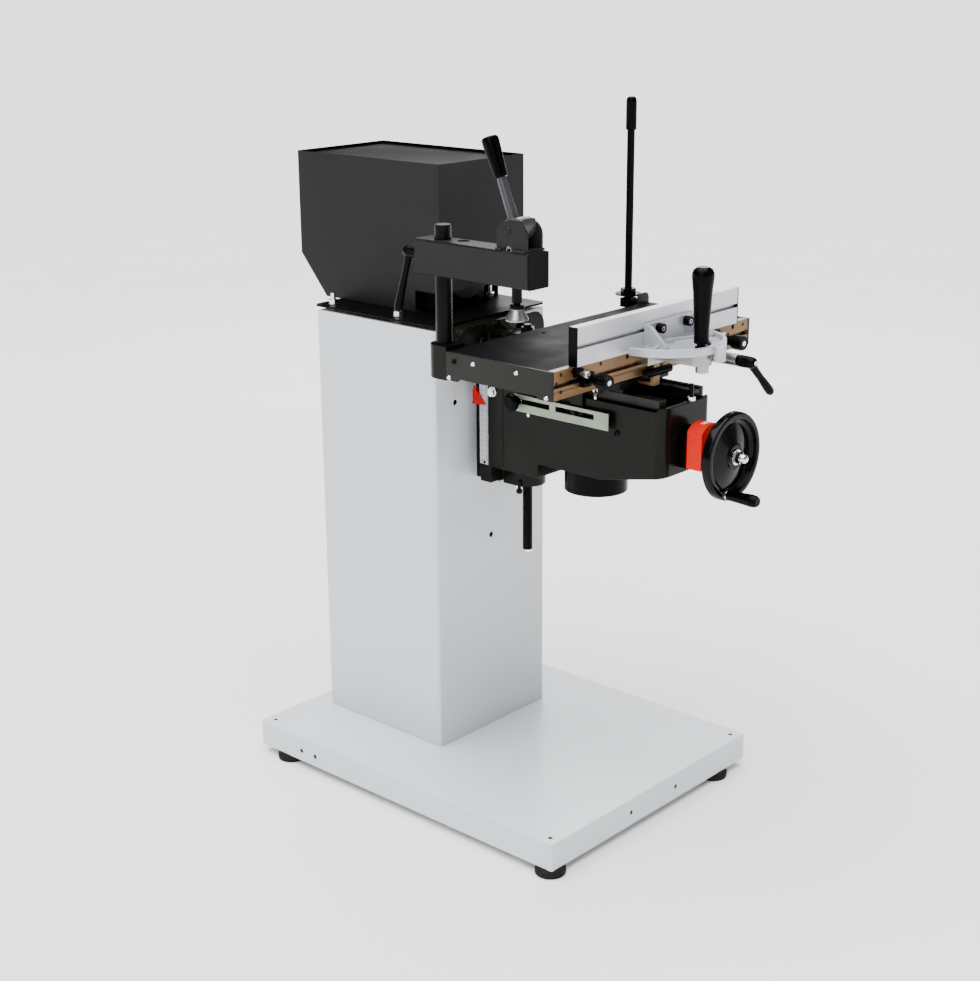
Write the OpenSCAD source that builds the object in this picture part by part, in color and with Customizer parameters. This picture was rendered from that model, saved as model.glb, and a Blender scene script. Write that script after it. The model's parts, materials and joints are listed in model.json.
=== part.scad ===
/* [Base] */
// Width of the sheet tray along X
tray_w = 615; // [570:5:680]
// Depth of the sheet tray along Y
tray_d = 800; // [790:5:880]
// Height of the sheet tray above the feet
tray_h = 55; // [50:1:70]
// Thickness of the tray's sheet
tray_t = 3; // [2:0.5:4]
// Width of the lips folded in under the tray
lip_w = 60; // [50:1:90]
// Diameter of the rubber feet
foot_d = 58; // [40:1:70]
// Height of the rubber feet under the lips
foot_h = 16; // [10:1:25]
// Distance of the foot studs from the tray's edges
foot_inset = 21; // [18:1:28]
// Distance of the front right foot from its place at the corner, along the front
foot_shift_x = 60; // [0:5:80]
// Distance of the two rear feet from their places at the corners, towards the front
foot_shift_y = 49; // [0:1:80]
// Diameter of the foot studs
foot_stud_d = 10; // [8:1:12]
// Spacing of the two holes in the tray's front face
front_hole_gap = 142; // [80:1:200]
// Spacing of the two holes in the tray's left face
side_hole_gap = 40.7; // [30:0.1:60]
// Diameter of the holes in the tray's faces
tray_hole_d = 9; // [6:0.5:12]

/* [Column] */
// Width of the column along X
col_w = 320; // [300:2:360]
// Depth of the column along Y
col_d = 326; // [310:2:360]
// Height of the column
col_h = 858; // [850:2:900]
// Thickness of the column's sheet
col_t = 3; // [2:0.5:4]
// Width of the column's folded flanges
col_flange = 44; // [36:1:60]
// Distance of the column's front face behind the machine's datum plane
col_front = 26; // [22:1:30]
// Diameter of the bolts through the column's flanges
flange_bolt_d = 10; // [8:1:12]

/* [Motor head] */
// Thickness of the motor plate
plate_t = 4; // [3:0.5:8]
// Height of the spacers under the motor plate
spacer_h = 6; // [5:0.5:12]
// Width of the hood along X
hood_w = 243; // [230:1:270]
// Height of the hood above the motor plate
hood_h = 290; // [270:1:330]
// Depth of the hood along Y
hood_d = 396; // [380:1:440]
// Thickness of the hood's sheet
hood_t = 2; // [1.5:0.5:3]
// Height of the gap under the hood's front wall
hood_gap = 43; // [36:1:50]
// Depth of the recess in the hood's top
hood_recess = 6; // [3:1:12]
// Height of the spindle axis above the motor plate
spindle_h = 90; // [86:1:96]
// Distance of the spindle axis to the right of the column's middle
spindle_x = 37.5; // [30:0.5:40]
// Diameter of the motor's body
motor_d = 166; // [150:1:172]
// Diameter of the motor's shaft
motor_shaft_d = 24; // [20:1:30]
// Diameter of the chuck
chuck_d = 50; // [40:1:56]
// Diameter of the chuck's bore
chuck_bore_d = 16; // [12:0.5:20]
// Depth of the chuck's bore
chuck_bore_l = 40; // [30:1:60]

/* [Way and lift] */
// Height of the middle of the dovetail way above the floor
way_h = 760; // [750:1:770]
// Length of the dovetail way
way_l = 280; // [270:1:300]
// Width of the dovetail at its wide front face
dove_w = 86; // [76:1:96]
// Depth of the dovetail
dove_d = 22; // [18:1:26]
// Angle between the dovetail's flanks and its front face
dove_a = 65; // [55:1:75]
// Running clearance of the dovetail
dove_gap = 0.06; // [0.03:0.01:0.1]
// Diameter of the fixed lifting screw
screw_d = 20; // [18:1:22]
// Lead of the lifting screw
screw_lead = 4; // [2:0.5:6]
// Distance of the lifting screw in front of the datum plane
screw_y = 68; // [64:1:72]
// Length of the lifting screw below its nose
screw_l = 419; // [400:1:430]
// Running clearance of shafts in bores, on radius
run_gap = 0.05; // [0.03:0.01:0.08]
// Pitch radius of the two bevel gears
bevel_r = 24; // [22:0.5:26]
// Number of teeth of each bevel gear
bevel_n = 16; // [14:2:20]
// Face width of the bevel gears' teeth
bevel_face = 8; // [6:0.5:9]

/* [Knee] */
// Width of the knee along X
knee_w = 145; // [140:1:154]
// Distance of the knee's front wall in front of the datum plane
knee_front = 448; // [440:1:460]
// Thickness of the knee's walls
knee_t = 12; // [10:0.5:14]
// Height of the drive shaft below the knee's side walls
shaft_drop = 74; // [70:1:80]
// Height of the tops of the knee's side walls above the floor
wall_h = 835; // [832:1:838]
// Diameter of the drive shaft
shaft_d = 16; // [12:1:18]
// Width of the hardened cross ways
strip_w = 20; // [16:1:22]
// Distance between the middles of the cross ways
strip_gap = 100; // [96:1:106]
// Height of the cross ways above the side walls
strip_h = 18; // [14:1:20]
// Outer diameter of the chip spigot
spigot_d = 120; // [112:1:120]
// Wall thickness of the chip spigot
spigot_t = 3; // [2:0.5:4]
// Distance of the chip spigot in front of the datum plane
spigot_y = 240; // [236:1:244]
// Thickness of the height scale
scale_t = 1.5; // [1:0.5:3]

/* [Handwheel] */
// Diameter of the handwheel
wheel_d = 160; // [140:2:180]
// Depth of the handwheel's rim
rim_depth = 20; // [16:1:26]
// Width of the handwheel's rim
rim_w = 14; // [11:1:18]
// Thickness of the handwheel's web
web_t = 6; // [4:0.5:8]
// Distance of the crank grip's stud from the shaft
crank_r = 68; // [50:1:68]
// Length of the crank grip
crank_l = 62; // [50:1:80]
// Largest diameter of the crank grip
crank_d = 23; // [18:1:28]
// Width of the position indicator
dial_w = 62; // [50:1:70]

/* [Carriage and table] */
// Width of the cross carriage along X
carriage_w = 156; // [150:1:170]
// Depth of the cross carriage along Y
carriage_d = 190; // [180:1:200]
// Distance of the carriage's middle in front of the datum plane
carriage_y = 255; // [252:1:258]
// Diameter of the table's guide rods
rod_d = 20; // [16:1:22]
// Distance between the two guide rods
rod_gap = 130; // [120:1:140]
// Travel of the carriage each way along Y
cross_travel = 40; // [30:1:40]
// Length of the table between its side plates
table_l = 574; // [540:2:620]
// Depth of the table's top along Y
table_d = 230; // [220:2:240]
// Thickness of the table's top
table_t = 12; // [8:1:12]
// Height of the table's surface above the cross ways
table_h = 86; // [86:1:92]
// Thickness of the side plates
plate_side_t = 6; // [4:0.5:8]
// Height of the side plates and the front rail
side_h = 51; // [48:1:54]
// Thickness of the front rail
rail_t = 14; // [12:0.5:16]
// Width of the front rail's slot at its mouth
rail_slot_w = 8; // [6:0.5:9]

/* [Clamp] */
// Diameter of the clamp's post
post_d = 30; // [24:1:32]
// Height of the post's top above the table
post_h = 219; // [215:1:260]
// Width of the clamp arm's box section
arm_w = 52; // [46:1:58]
// Height of the clamp arm's box section
arm_h = 62; // [56:1:70]
// Wall thickness of the clamp arm
arm_t = 3; // [2:0.5:4]
// Reach of the clamp arm in front of the post
arm_reach = 218; // [210:1:240]
// Height of the arm's lower face above the table
arm_rise = 131; // [125:1:140]
// Distance from the post to the plunger
plunger_reach = 172; // [165:1:180]
// Diameter of the clamp's plunger
plunger_d = 18; // [14:1:20]
// Rise of the clamp's cam for each degree
cam_rise = 0.12; // [0.08:0.01:0.14]
// Length of the cam lever
cam_lever_l = 160; // [130:1:180]
// Largest diameter of the cam lever's grip
cam_grip_d = 30; // [28:1:34]

/* [Control lever] */
// Length of the control lever above its joint
lever_up = 403; // [380:1:430]
// Diameter of the control lever's rod
lever_d = 15; // [12:1:16]
// Diameter of the control lever's grip
grip_d = 21; // [18:1:26]

/* [Fence] */
// Length of the fence
fence_l = 472; // [420:2:500]
// Height of the fence above the table
fence_h = 68; // [60:1:72]
// Thickness of the fence
fence_t = 18; // [16:1:20]
// Radius of the mitre head's half disc
mitre_r = 108; // [100:1:114]
// Thickness of the mitre head's rim
mitre_t = 14; // [10:1:14]
// Radius of the curved slot in the mitre head
mitre_slot_r = 77; // [72:1:80]
// Height of the mitre's upright handle
handle_h = 135; // [110:1:150]

/* [Hidden] */
$fn = 48;
over = 1;
sheet_gap = 0.3;
mid_x = 8;
dark = "#3f3f3c";
iron = "#2f312b";
black = "#151517";
steel = "#b9bcc0";
pale = "#d4d7da";

tray_top = foot_h + tray_h;
foot_x = tray_w / 2 - foot_inset;
foot_y = tray_d / 2 - foot_inset;
feet_at = [
    [-foot_x, -foot_y], [foot_x - foot_shift_x, -foot_y], [-foot_x, foot_y - foot_shift_y], [foot_x, foot_y - foot_shift_y]
];
col_mid_y = col_front + col_d / 2;
col_top = tray_top + col_h;
flange_bolt_x = col_w / 2 - 28;
plate_bolt_ys = [col_front + 124, col_front + col_d - 20];
base_bolt_ys = [col_front + 20, col_front + col_d - 20];
plate_z = col_top + spacer_h;
plate_top = plate_z + plate_t;
plate_w = col_w - 4;
plate_d = col_d + 15;
plate_front = col_front - 3;
axis_x = mid_x + spindle_x;
spindle_z = plate_top + spindle_h;
hood_x0 = axis_x - hood_w / 2;
hood_y0 = col_front + 54;
hood_top = plate_top + hood_h;
hood_notch = 69;
hood_toe = [72, 83];
motor_y0 = hood_y0 + 25;
motor_l = 290;
motor_seat = 60;
chuck_nose = hood_y0 - 135;

way_z0 = way_h - way_l / 2;
way_z1 = way_h + way_l / 2;
way_top = col_top + 4;
way_flange_w = 250;
way_flange_y = col_front - 30;
way_flange_z = way_top - 70;
neck_w = 90;
dove_root = way_flange_y - 5;
dove_front = dove_root - dove_d;
dove_neck = dove_w - 2 * dove_d / tan(dove_a);
way_bolt_x = 51;
way_bolt_d = 12;
way_pocket_w = 24;
nose_t = 18;
nose_z = way_top - 18 - nose_t;
nose_w = 40;
screw_z0 = nose_z - screw_l;
screw_neck_d = screw_d - 4;
shaft_z = wall_h - shaft_drop;

knee_x0 = mid_x - knee_w / 2;
knee_x1 = mid_x + knee_w / 2;
knee_back = dove_root - sheet_gap;
knee_front_y = -knee_front;
rear_block_y = -37;
knee_low = way_z0 + 5;
floor_z = [wall_h - 177, wall_h - 149, wall_h - 120];
floor_ys = [-155, -spigot_y - 66];
spigot_neck = 6;
spigot_l = 46;
gib_t = 5;
nut_d = screw_d + 14;
bush_d = nut_d + 8;
boss_low = floor_z[0] - 41;
boss_top = floor_z[0] + 40;
boss_r = bush_d / 2 + 15;
bush_top = boss_top + 4;
web_y = -132;
inner_web_t = 14;
strip_z = wall_h + strip_h;
ledge_h = 20;
shaft_bush_d = shaft_d + 10;
wheel_y = knee_front_y - 104;
wheel_hub_y = wheel_y + 50.5;
dial_y = knee_front_y - 20;
dial_front = wheel_hub_y + 1;
dial_low = shaft_z - dial_w / 2;
dial_top = shaft_z + 52;
shaft_thread_d = shaft_d - 4;
crank_a = 22;
crank_x = mid_x - crank_r * sin(crank_a);
crank_z = shaft_z - crank_r * cos(crank_a);
crank_stud_d = 8;
cone_l = bevel_r * sqrt(2);
tooth_add = 2.2;
tooth_ded = 3;
ball_z = shaft_z - 121;
ball_d = 20;
stop_y = -115;
stop_z = wall_h - 34;
slot_w = 10;
wing_y = -297;

carriage_x0 = mid_x - carriage_w / 2;
carriage_y0 = -carriage_y - carriage_d / 2;
shoe_gap = 0.3;
deck_z = strip_z + 9;
deck_t = 14;
rod_z = strip_z + 52;
rod_ys = [-carriage_y - rod_gap / 2, -carriage_y + rod_gap / 2];
table_z = strip_z + table_h;
table_low = table_z - table_t;
table_x0 = mid_x - table_l / 2;
table_x1 = mid_x + table_l / 2;
rail_back = -carriage_y - 107;
rail_front = rail_back - rail_t;
table_rear = rail_back + table_d;
side_z0 = table_z - side_h;
side_rear = table_rear;
screw_z = table_z - 13;
plate_screws = [
    [rail_front + 12, side_z0 + 5], [rod_ys[0] + 23, screw_z], [rod_ys[1] - 7, screw_z], [table_rear - 7, side_z0 + 5]
];
slot_z = table_z - 26;
tslot_w = 15;
tslot_h = 5;
slot_lip = 4;
pin_y = -carriage_y + 1;

post_x = table_x0 + 19;
post_y = table_rear + 27;
post_block_w = 50;
arm_z = table_z + arm_rise;
arm_top = arm_z + arm_h;
arm_y0 = post_y - arm_reach;
arm_y1 = post_y + 45;
plunger_y = post_y - plunger_reach;
foot_rest = table_z + 71;
pivot_y = plunger_y + 1;
pivot_z = arm_top + 34;
cam_base = pivot_z - arm_top - 14;
bracket_t = 5;
cam_w = 32;
cam_lean = 22;
pivot_d = 10;
lever_pin_d = 6;
lever_neck_d = lever_d - 3;

joint_x = table_x1 - 15;
joint_y = table_rear + 33;
joint_z = table_z - 1;
lever_down = joint_z - ball_z;

mitre_y = rail_front - 18;
mitre_z = table_z + sheet_gap + 0.1;
fence_y1 = rail_back - 5;
fence_y0 = fence_y1 - fence_t;
handle_y = mitre_y - mitre_slot_r;
lock_x = mid_x + mitre_slot_r;

// Rectangle with round corners, about its middle
module round_rect(w, d, r) {
    square([w - 2 * r, d], center = true);
    square([w, d - 2 * r], center = true);
    for (x = [-1, 1], y = [-1, 1]) translate([x * (w / 2 - r), y * (d / 2 - r)]) circle(r);
}

// Upright plate or prism of that outline, between two heights
module slab(w, d, r, x, y, z0, z1) {
    translate([x, y, z0]) linear_extrude(z1 - z0) round_rect(w, d, r);
}

// Block between two opposite corners
module block(a, b) {
    translate(a) cube(b - a);
}

// Round bars that start at a point and run along +X, +Y or +Z
module bar_x(d, p, l) {
    translate(p) rotate([0, 90, 0]) cylinder(d = d, h = l);
}

module bar_y(d, p, l) {
    translate(p) rotate([-90, 0, 0]) cylinder(d = d, h = l);
}

module bar_z(d, p, l) {
    translate(p) cylinder(d = d, h = l);
}

// Hexagon of a given width across its flats, upright
module hex(flats, h) {
    cylinder(d = flats / cos(30), h = h, $fn = 6);
}

// Outline drawn in Y and Z, extruded along X
module along_x(x0, x1) {
    translate([x0, 0, 0]) rotate([90, 0, 90]) linear_extrude(x1 - x0) children();
}

// Outline drawn in X and Z, extruded along Y
module along_y(y0, y1) {
    translate([0, y1, 0]) rotate([90, 0, 0]) linear_extrude(y1 - y0) children();
}

// Half outline turned about an axis along -Y or along +X
module turned_front(p) {
    translate(p) rotate([90, 0, 0]) rotate_extrude() children();
}

module turned_right(p) {
    translate(p) rotate([0, 90, 0]) rotate_extrude() children();
}

module base_tray() {
    color("gainsboro") difference() {
        slab(tray_w, tray_d, tray_t + 1, 0, 0, foot_h, tray_top);
        slab(tray_w - 2 * tray_t, tray_d - 2 * tray_t, 1, 0, 0, foot_h + tray_t, tray_top - tray_t);
        slab(tray_w - 2 * lip_w, tray_d - 2 * lip_w, 4, 0, 0, foot_h - over, tray_top - tray_t - over);
        for (at = feet_at) bar_z(foot_stud_d + 1, [at.x, at.y, foot_h - over], tray_h / 2);
        for (x = [-foot_x, foot_x], y = [-foot_y, foot_y])
            bar_z(tray_hole_d, [x, y, tray_top - 2 * tray_t], 3 * tray_t);
        for (x = [-1, 1]) translate([x * front_hole_gap / 2, -tray_d / 2 - over, foot_h + 26])
            rotate([-90, 0, 0]) cylinder(d = tray_hole_d, h = 2 * tray_t);
        for (y = [0, side_hole_gap])
            bar_x(tray_hole_d, [-tray_w / 2 - over, tray_d / 2 - 164 + y, foot_h + 22], 2 * tray_t);
        for (x = [-1, 1], y = base_bolt_ys)
            bar_z(flange_bolt_d + 1, [mid_x + x * flange_bolt_x, y, tray_top - 2 * tray_t], 3 * tray_t);
    }
}

module levelling_feet() {
    color(black) for (at = feet_at) translate([at.x, at.y, 0]) {
        rotate_extrude() polygon([
            [0, 0], [foot_d / 2 - 2, 0], [foot_d / 2, 2], [foot_d / 2, foot_h - 4],
            [foot_d / 2 - 4, foot_h], [0, foot_h]
        ]);
        bar_z(foot_stud_d, [0, 0, foot_h - over], 27);
        translate([0, 0, foot_h + tray_t]) hex(1.7 * foot_stud_d, 0.8 * foot_stud_d);
    }
}

module column_shell() {
    inner_w = col_w - 2 * col_t;
    inner_d = col_d - 2 * col_t;
    color("gainsboro") difference() {
        slab(col_w, col_d, col_t + 3, mid_x, col_mid_y, tray_top, col_top);
        slab(inner_w, inner_d, 3, mid_x, col_mid_y, tray_top + col_t, col_top - col_t);
        slab(col_w - 2 * col_flange, col_d - 2 * col_flange, 4, mid_x, col_mid_y, tray_top - over, col_top + over);
        for (x = [-1, 1], y = plate_bolt_ys)
            bar_z(flange_bolt_d + 1, [mid_x + x * flange_bolt_x, y, col_top - 2 * col_t], 3 * col_t);
        for (x = [-1, 1], y = base_bolt_ys)
            bar_z(flange_bolt_d + 1, [mid_x + x * flange_bolt_x, y, tray_top - col_t], 3 * col_t);
        for (x = [-1, 1], z = [way_flange_z + 32, way_z0 + 40])
            bar_y(way_bolt_d + 1, [mid_x + x * (z > way_h ? way_bolt_x : 22), col_front - over, z], 2 * col_t);
        for (h = [[-103.3, 711], [-2.6, 416]])
            bar_y(11, [mid_x + h[0], col_front - over, tray_top + h[1]], 2 * col_t);
    }
}

module motor_plate() {
    color(black) difference() {
        slab(plate_w, plate_d, 12, mid_x + 2, plate_front + plate_d / 2, plate_z, plate_top);
        for (x = [-1, 1], y = plate_bolt_ys)
            bar_z(flange_bolt_d + 1, [mid_x + x * flange_bolt_x, y, plate_z - over], plate_t + 2 * over);
    }
}

// Stud with a nut at each end, a washer and the spacer under the motor plate
module plate_bolt() {
    bar_z(flange_bolt_d, [0, 0, col_top - 20], plate_top - col_top + 43);
    translate([0, 0, col_top - col_t - 8]) hex(1.7 * flange_bolt_d, 8);
    bar_z(2 * flange_bolt_d, [0, 0, col_top], spacer_h);
    bar_z(2 * flange_bolt_d, [0, 0, plate_top], 2);
    translate([0, 0, plate_top + 2]) hex(1.7 * flange_bolt_d, 8);
}

module stand_bolts() {
    color(steel) {
        for (x = [-1, 1], y = plate_bolt_ys) translate([mid_x + x * flange_bolt_x, y, 0]) plate_bolt();
        for (x = [-1, 1], y = base_bolt_ys) translate([mid_x + x * flange_bolt_x, y, tray_top - tray_t - 7]) {
            hex(1.7 * flange_bolt_d, 7);
            cylinder(d = flange_bolt_d, h = 28);
            translate([0, 0, 7 + tray_t + col_t]) hex(1.7 * flange_bolt_d, 8);
        }
        for (x = [-1, 1]) {
            translate([mid_x + x * way_bolt_x, way_flange_y + 14, way_flange_z + 32]) rotate([90, 0, 0]) {
                hex(1.5 * way_bolt_d, 8);
                translate([0, 0, -col_front + way_flange_y + 14 - col_t - 14])
                    cylinder(d = way_bolt_d, h = col_front - way_flange_y + col_t + 1);
                translate([0, 0, way_flange_y + 14 - col_front - col_t - 10]) hex(1.5 * way_bolt_d, 10);
            }
            translate([mid_x + x * 22, col_front + col_t, way_z0 + 40]) rotate([-90, 0, 0]) {
                hex(1.5 * way_bolt_d, 8);
                translate([0, 0, -col_t - 18]) cylinder(d = way_bolt_d, h = col_t + 19);
            }
        }
    }
}

// Side outline of the hood, shrunk by t, open below where t is more than 0
module hood_outline(t, drop, lid) {
    lean = atan2(hood_toe.y, hood_toe.x);
    rear = hood_y0 + hood_d - t;
    toe_z = plate_top + hood_toe.y + t * (1 - sin(lean)) / cos(lean);
    foot = hood_y0 + hood_d - hood_toe.x - t / sin(lean);
    polygon([
        [hood_y0 + t, plate_top - drop], [hood_y0 + t, hood_top - lid], [rear, hood_top - lid],
        [rear, toe_z], [foot - drop / tan(lean), plate_top - drop]
    ]);
}

module hood_arch() {
    arch_r = 32;
    mouth_r = 30;
    edge = plate_top + hood_gap;
    translate([axis_x, spindle_z]) circle(arch_r);
    translate([axis_x - arch_r, edge - over]) square([2 * arch_r, spindle_z - edge + over]);
    for (s = [-1, 1]) translate([axis_x + s * (arch_r + mouth_r), edge]) difference() {
        translate([s > 0 ? -mouth_r : 0, -over]) square([mouth_r, mouth_r + over]);
        translate([0, mouth_r]) circle(mouth_r);
    }
}

module motor_hood() {
    x1 = hood_x0 + hood_w;
    flange = 15;
    color(dark) {
        difference() {
            along_x(hood_x0, x1) hood_outline(0, 0, 0);
            along_x(hood_x0 + hood_t, x1 - hood_t) hood_outline(hood_t, over, hood_recess + hood_t);
            block([hood_x0 - over, hood_y0 - over, plate_top - over],
                  [x1 + over, hood_y0 + hood_notch, plate_top + hood_gap]);
            block([hood_x0 + hood_t, hood_y0 + hood_t, hood_top - hood_recess],
                  [x1 - hood_t, hood_y0 + hood_d - hood_t, hood_top + over]);
            along_y(hood_y0 - over, hood_y0 + 2 * hood_t) hood_arch();
        }
        for (x = [hood_x0 + hood_t - 0.5, x1 - hood_t - flange + 0.5])
            block([x, hood_y0 + hood_notch, plate_top], [x + flange, plate_front + plate_d - 6, plate_top + hood_t]);
    }
}

module motor_body() {
    r = motor_d / 2;
    back = -motor_l;
    color("slategray") difference() {
        union() {
            turned_front([axis_x, motor_y0, spindle_z]) polygon([
                [0, 0], [30, 0], [34, -12], [r - 8, -14], [r - 2, -24], [r - 2, -34], [r, -36],
                [r, back + 65], [r - 4, back + 60], [r - 4, back + 14], [r - 16, back], [0, back]
            ]);
            for (s = [-1, 1]) block([axis_x + s * 66 - 12, motor_y0 + 44, plate_top],
                [axis_x + s * 66 + 12, motor_y0 + 204, spindle_z - 50]);
            block([axis_x - 42, motor_y0 + 70, spindle_z + r - 8], [axis_x + 42, motor_y0 + 170, spindle_z + r + 24]);
        }
        bar_y(motor_shaft_d + 2 * run_gap, [axis_x, motor_y0 - over, spindle_z], motor_seat + over);
    }
}

module spindle_chuck() {
    r = chuck_d / 2;
    nose = -chuck_nose;
    tail = -motor_y0 - motor_seat + 1;
    bore = chuck_bore_d / 2;
    color(steel) difference() {
        turned_front([axis_x, 0, spindle_z]) polygon([
            [bore, nose], [0.68 * r, nose], [r, nose - 18], [r, 12], [r - 1.5, 10.5], [r - 1.5, 7.5], [r, 6],
            [r, -34], [0.7 * r, -40], [0.7 * r, -64], [motor_shaft_d / 2, -66], [motor_shaft_d / 2, tail],
            [0, tail], [0, nose - chuck_bore_l], [bore, nose - chuck_bore_l]
        ]);
        for (a = [0:120:240]) translate([axis_x, 0, spindle_z]) rotate([0, a, 0])
            translate([0, -nose / 2, chuck_d / 2 - 6]) cylinder(d = 7, h = 12);
    }
}

// Male dovetail outline in X and Y, opened by a clearance on all flanks
module dovetail(gap, back, right = 0) {
    side = gap / sin(dove_a);
    far = side + right / sin(dove_a);
    translate([mid_x, 0]) polygon([
        [-dove_w / 2 - side, dove_front - gap], [dove_w / 2 + far, dove_front - gap],
        [dove_neck / 2 + far, dove_root], [dove_neck / 2 + far, back],
        [-dove_neck / 2 - side, back], [-dove_neck / 2 - side, dove_root]
    ]);
}

module way_casting() {
    flange_r = 30;
    neck_top = max(way_z1, way_flange_z + 20);
    color(iron) difference() {
        union() {
            along_y(way_flange_y, col_front) intersection() {
                translate([mid_x, (way_top + way_flange_z) / 2 - flange_r])
                    round_rect(way_flange_w, way_top - way_flange_z + 2 * flange_r, flange_r);
                translate([mid_x - way_flange_w, way_flange_z]) square([2 * way_flange_w, col_h]);
            }
            translate([mid_x - neck_w / 2, dove_root, way_z0]) cube([neck_w, col_front - dove_root, neck_top - way_z0]);
            translate([0, 0, way_z0]) linear_extrude(way_z1 - way_z0) dovetail(0, dove_root + over);
            difference() {
                screw_nose();
                bar_z(screw_neck_d + 0.4, [mid_x, -screw_y, nose_z - over], nose_t + 2 * over);
            }
        }
        for (x = [-1, 1]) {
            along_y(way_flange_y - over, way_flange_y + 14) translate([mid_x + x * way_bolt_x, 0]) {
                translate([-way_pocket_w / 2, way_flange_z - over]) square([way_pocket_w, 46]);
                translate([0, way_flange_z + 45]) circle(way_pocket_w / 2);
            }
            bar_y(way_bolt_d + 0.4, [mid_x + x * way_bolt_x, way_flange_y, way_flange_z + 32], col_front - way_flange_y + over);
            bar_y(way_bolt_d + 0.4, [mid_x + x * 22, col_front - 20, way_z0 + 40], 20 + over);
        }
    }
}

// Nose that carries the top of the lifting screw: a web with a round end
module screw_nose() {
    translate([mid_x, -screw_y, nose_z]) cylinder(d = nose_w, h = nose_t);
    block([mid_x - nose_w / 2, -screw_y, nose_z], [mid_x + nose_w / 2, way_flange_y + over, nose_z + nose_t]);
    along_x(mid_x - 6, mid_x + 6) polygon([
        [way_flange_y + over, nose_z + nose_t - over], [way_flange_y + over, way_top],
        [way_flange_y - 24, nose_z + nose_t - over]
    ]);
}

module scale_pointer() {
    plate_x = mid_x - knee_w / 2 - 5.5;
    top = wall_h - 20;
    root = way_flange_y + 10;
    color("crimson") {
        along_x(plate_x, plate_x + 3) polygon([[root, top - 37], [root - 4, top], [dove_front + 4, top - 34]]);
        block([plate_x, root - 4, top - 34], [mid_x - neck_w / 2, root - 1, top - 8]);
    }
}

module lift_screw() {
    color(black) {
        bar_z(screw_d, [mid_x, -screw_y, screw_z0], nose_z - screw_z0);
        bar_z(screw_neck_d, [mid_x, -screw_y, nose_z - over], nose_t + over + 17);
        translate([mid_x, -screw_y, nose_z + nose_t]) hex(24, 12);
        bar_z(screw_d - 5, [mid_x, -screw_y, screw_z0 - 7], 7 + over);
    }
}

// Outline of the knee's casting in X and Y, with its two front edges rounded
module knee_plan(inset) {
    r = 20 - inset;
    x0 = knee_x0 + inset;
    x1 = knee_x1 - inset;
    y0 = knee_front_y + inset;
    translate([x0, y0 + r]) square([x1 - x0, knee_back - y0 - r]);
    translate([x0 + r, y0]) square([x1 - x0 - 2 * r, r + over]);
    for (x = [x0 + r, x1 - r]) translate([x, y0 + r]) circle(r);
}

// Outline of the knee's casting in Y and Z, with its stepped and rising floor
module knee_side() {
    polygon([
        [knee_back, wall_h], [knee_back, knee_low], [rear_block_y, knee_low], [rear_block_y, floor_z[0]],
        [floor_ys[0], floor_z[0]], [floor_ys[0] - 2, floor_z[1]], [floor_ys[1], floor_z[1]],
        [knee_front_y, floor_z[2]], [knee_front_y, wall_h + 7], [knee_front_y + knee_t, wall_h + 7],
        [knee_front_y + knee_t + 7, wall_h]
    ]);
}

module knee_well() {
    top = strip_z + 20;
    polygon([
        [rear_block_y, top], [rear_block_y, floor_z[0] + knee_t], [floor_ys[0] + knee_t, floor_z[0] + knee_t],
        [floor_ys[0] + knee_t, floor_z[1] + knee_t], [floor_ys[1], floor_z[1] + knee_t],
        [knee_front_y + knee_t, floor_z[2] + knee_t], [knee_front_y + knee_t, top]
    ]);
}

module knee_casting() {
    inner_x0 = knee_x0 + knee_t;
    inner_x1 = knee_x1 - knee_t;
    ledge_y = web_y + inner_web_t;
    color(iron) difference() {
        union() {
            difference() {
                union() {
                    intersection() {
                        translate([0, 0, knee_low]) linear_extrude(strip_z - knee_low) knee_plan(0);
                        along_x(knee_x0 - over, knee_x1 + over) knee_side();
                    }
                    block([inner_x1, knee_front_y + 20, wall_h - over], [knee_x1, floor_ys[0], strip_z + 3]);
                }
                along_x(inner_x0, inner_x1) knee_well();
            }
            translate([mid_x, -screw_y, boss_low]) cylinder(r = boss_r, h = boss_top - boss_low);
            block([mid_x - boss_r, -screw_y, boss_low], [mid_x + boss_r, rear_block_y + over, boss_top]);
            block([inner_x0 - over, web_y, floor_z[0] + over], [inner_x1 + over, web_y + inner_web_t, shaft_z + 28]);
            for (s = [-1, 1]) {
                edge = mid_x + s * (strip_gap / 2 - strip_w / 2 - 2);
                wall = mid_x + s * (knee_w / 2 - knee_t + over);
                block([min(edge, wall), knee_front_y + knee_t - over, wall_h - ledge_h],
                      [max(edge, wall), ledge_y, wall_h]);
            }
        }
        translate([0, 0, boss_low - over]) linear_extrude(col_h) dovetail(dove_gap, knee_back + over, gib_t);
        bar_z(bush_d, [mid_x, -screw_y, boss_low - over], boss_top - boss_low + 2 * over);
        bar_z(spigot_d - 2 * spigot_neck, [mid_x, -spigot_y, floor_z[0]], floor_z[1] + knee_t - floor_z[0] + 8);
        bar_y(shaft_bush_d, [mid_x, knee_front_y - over, shaft_z], knee_t + 2 * over);
        bar_y(shaft_bush_d, [mid_x, web_y - over, shaft_z], inner_web_t + 2 * over);
        for (x = [knee_x0 - over, knee_x1 - 1.5]) block([x, -70, knee_low], [x + 1.5 + over, -68, wall_h + over]);
        bar_x(8.4, [knee_x0 - over, stop_y, stop_z + slot_w / 2], knee_t + 2 * over);
    }
}

module knee_gib() {
    color("dimgray") translate([0, 0, knee_low]) linear_extrude(wall_h - knee_low) intersection() {
        difference() {
            dovetail(dove_gap, knee_back, gib_t);
            dovetail(dove_gap, knee_back + over);
        }
        translate([mid_x, dove_front - dove_gap]) square([dove_w, dove_d]);
    }
}

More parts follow.
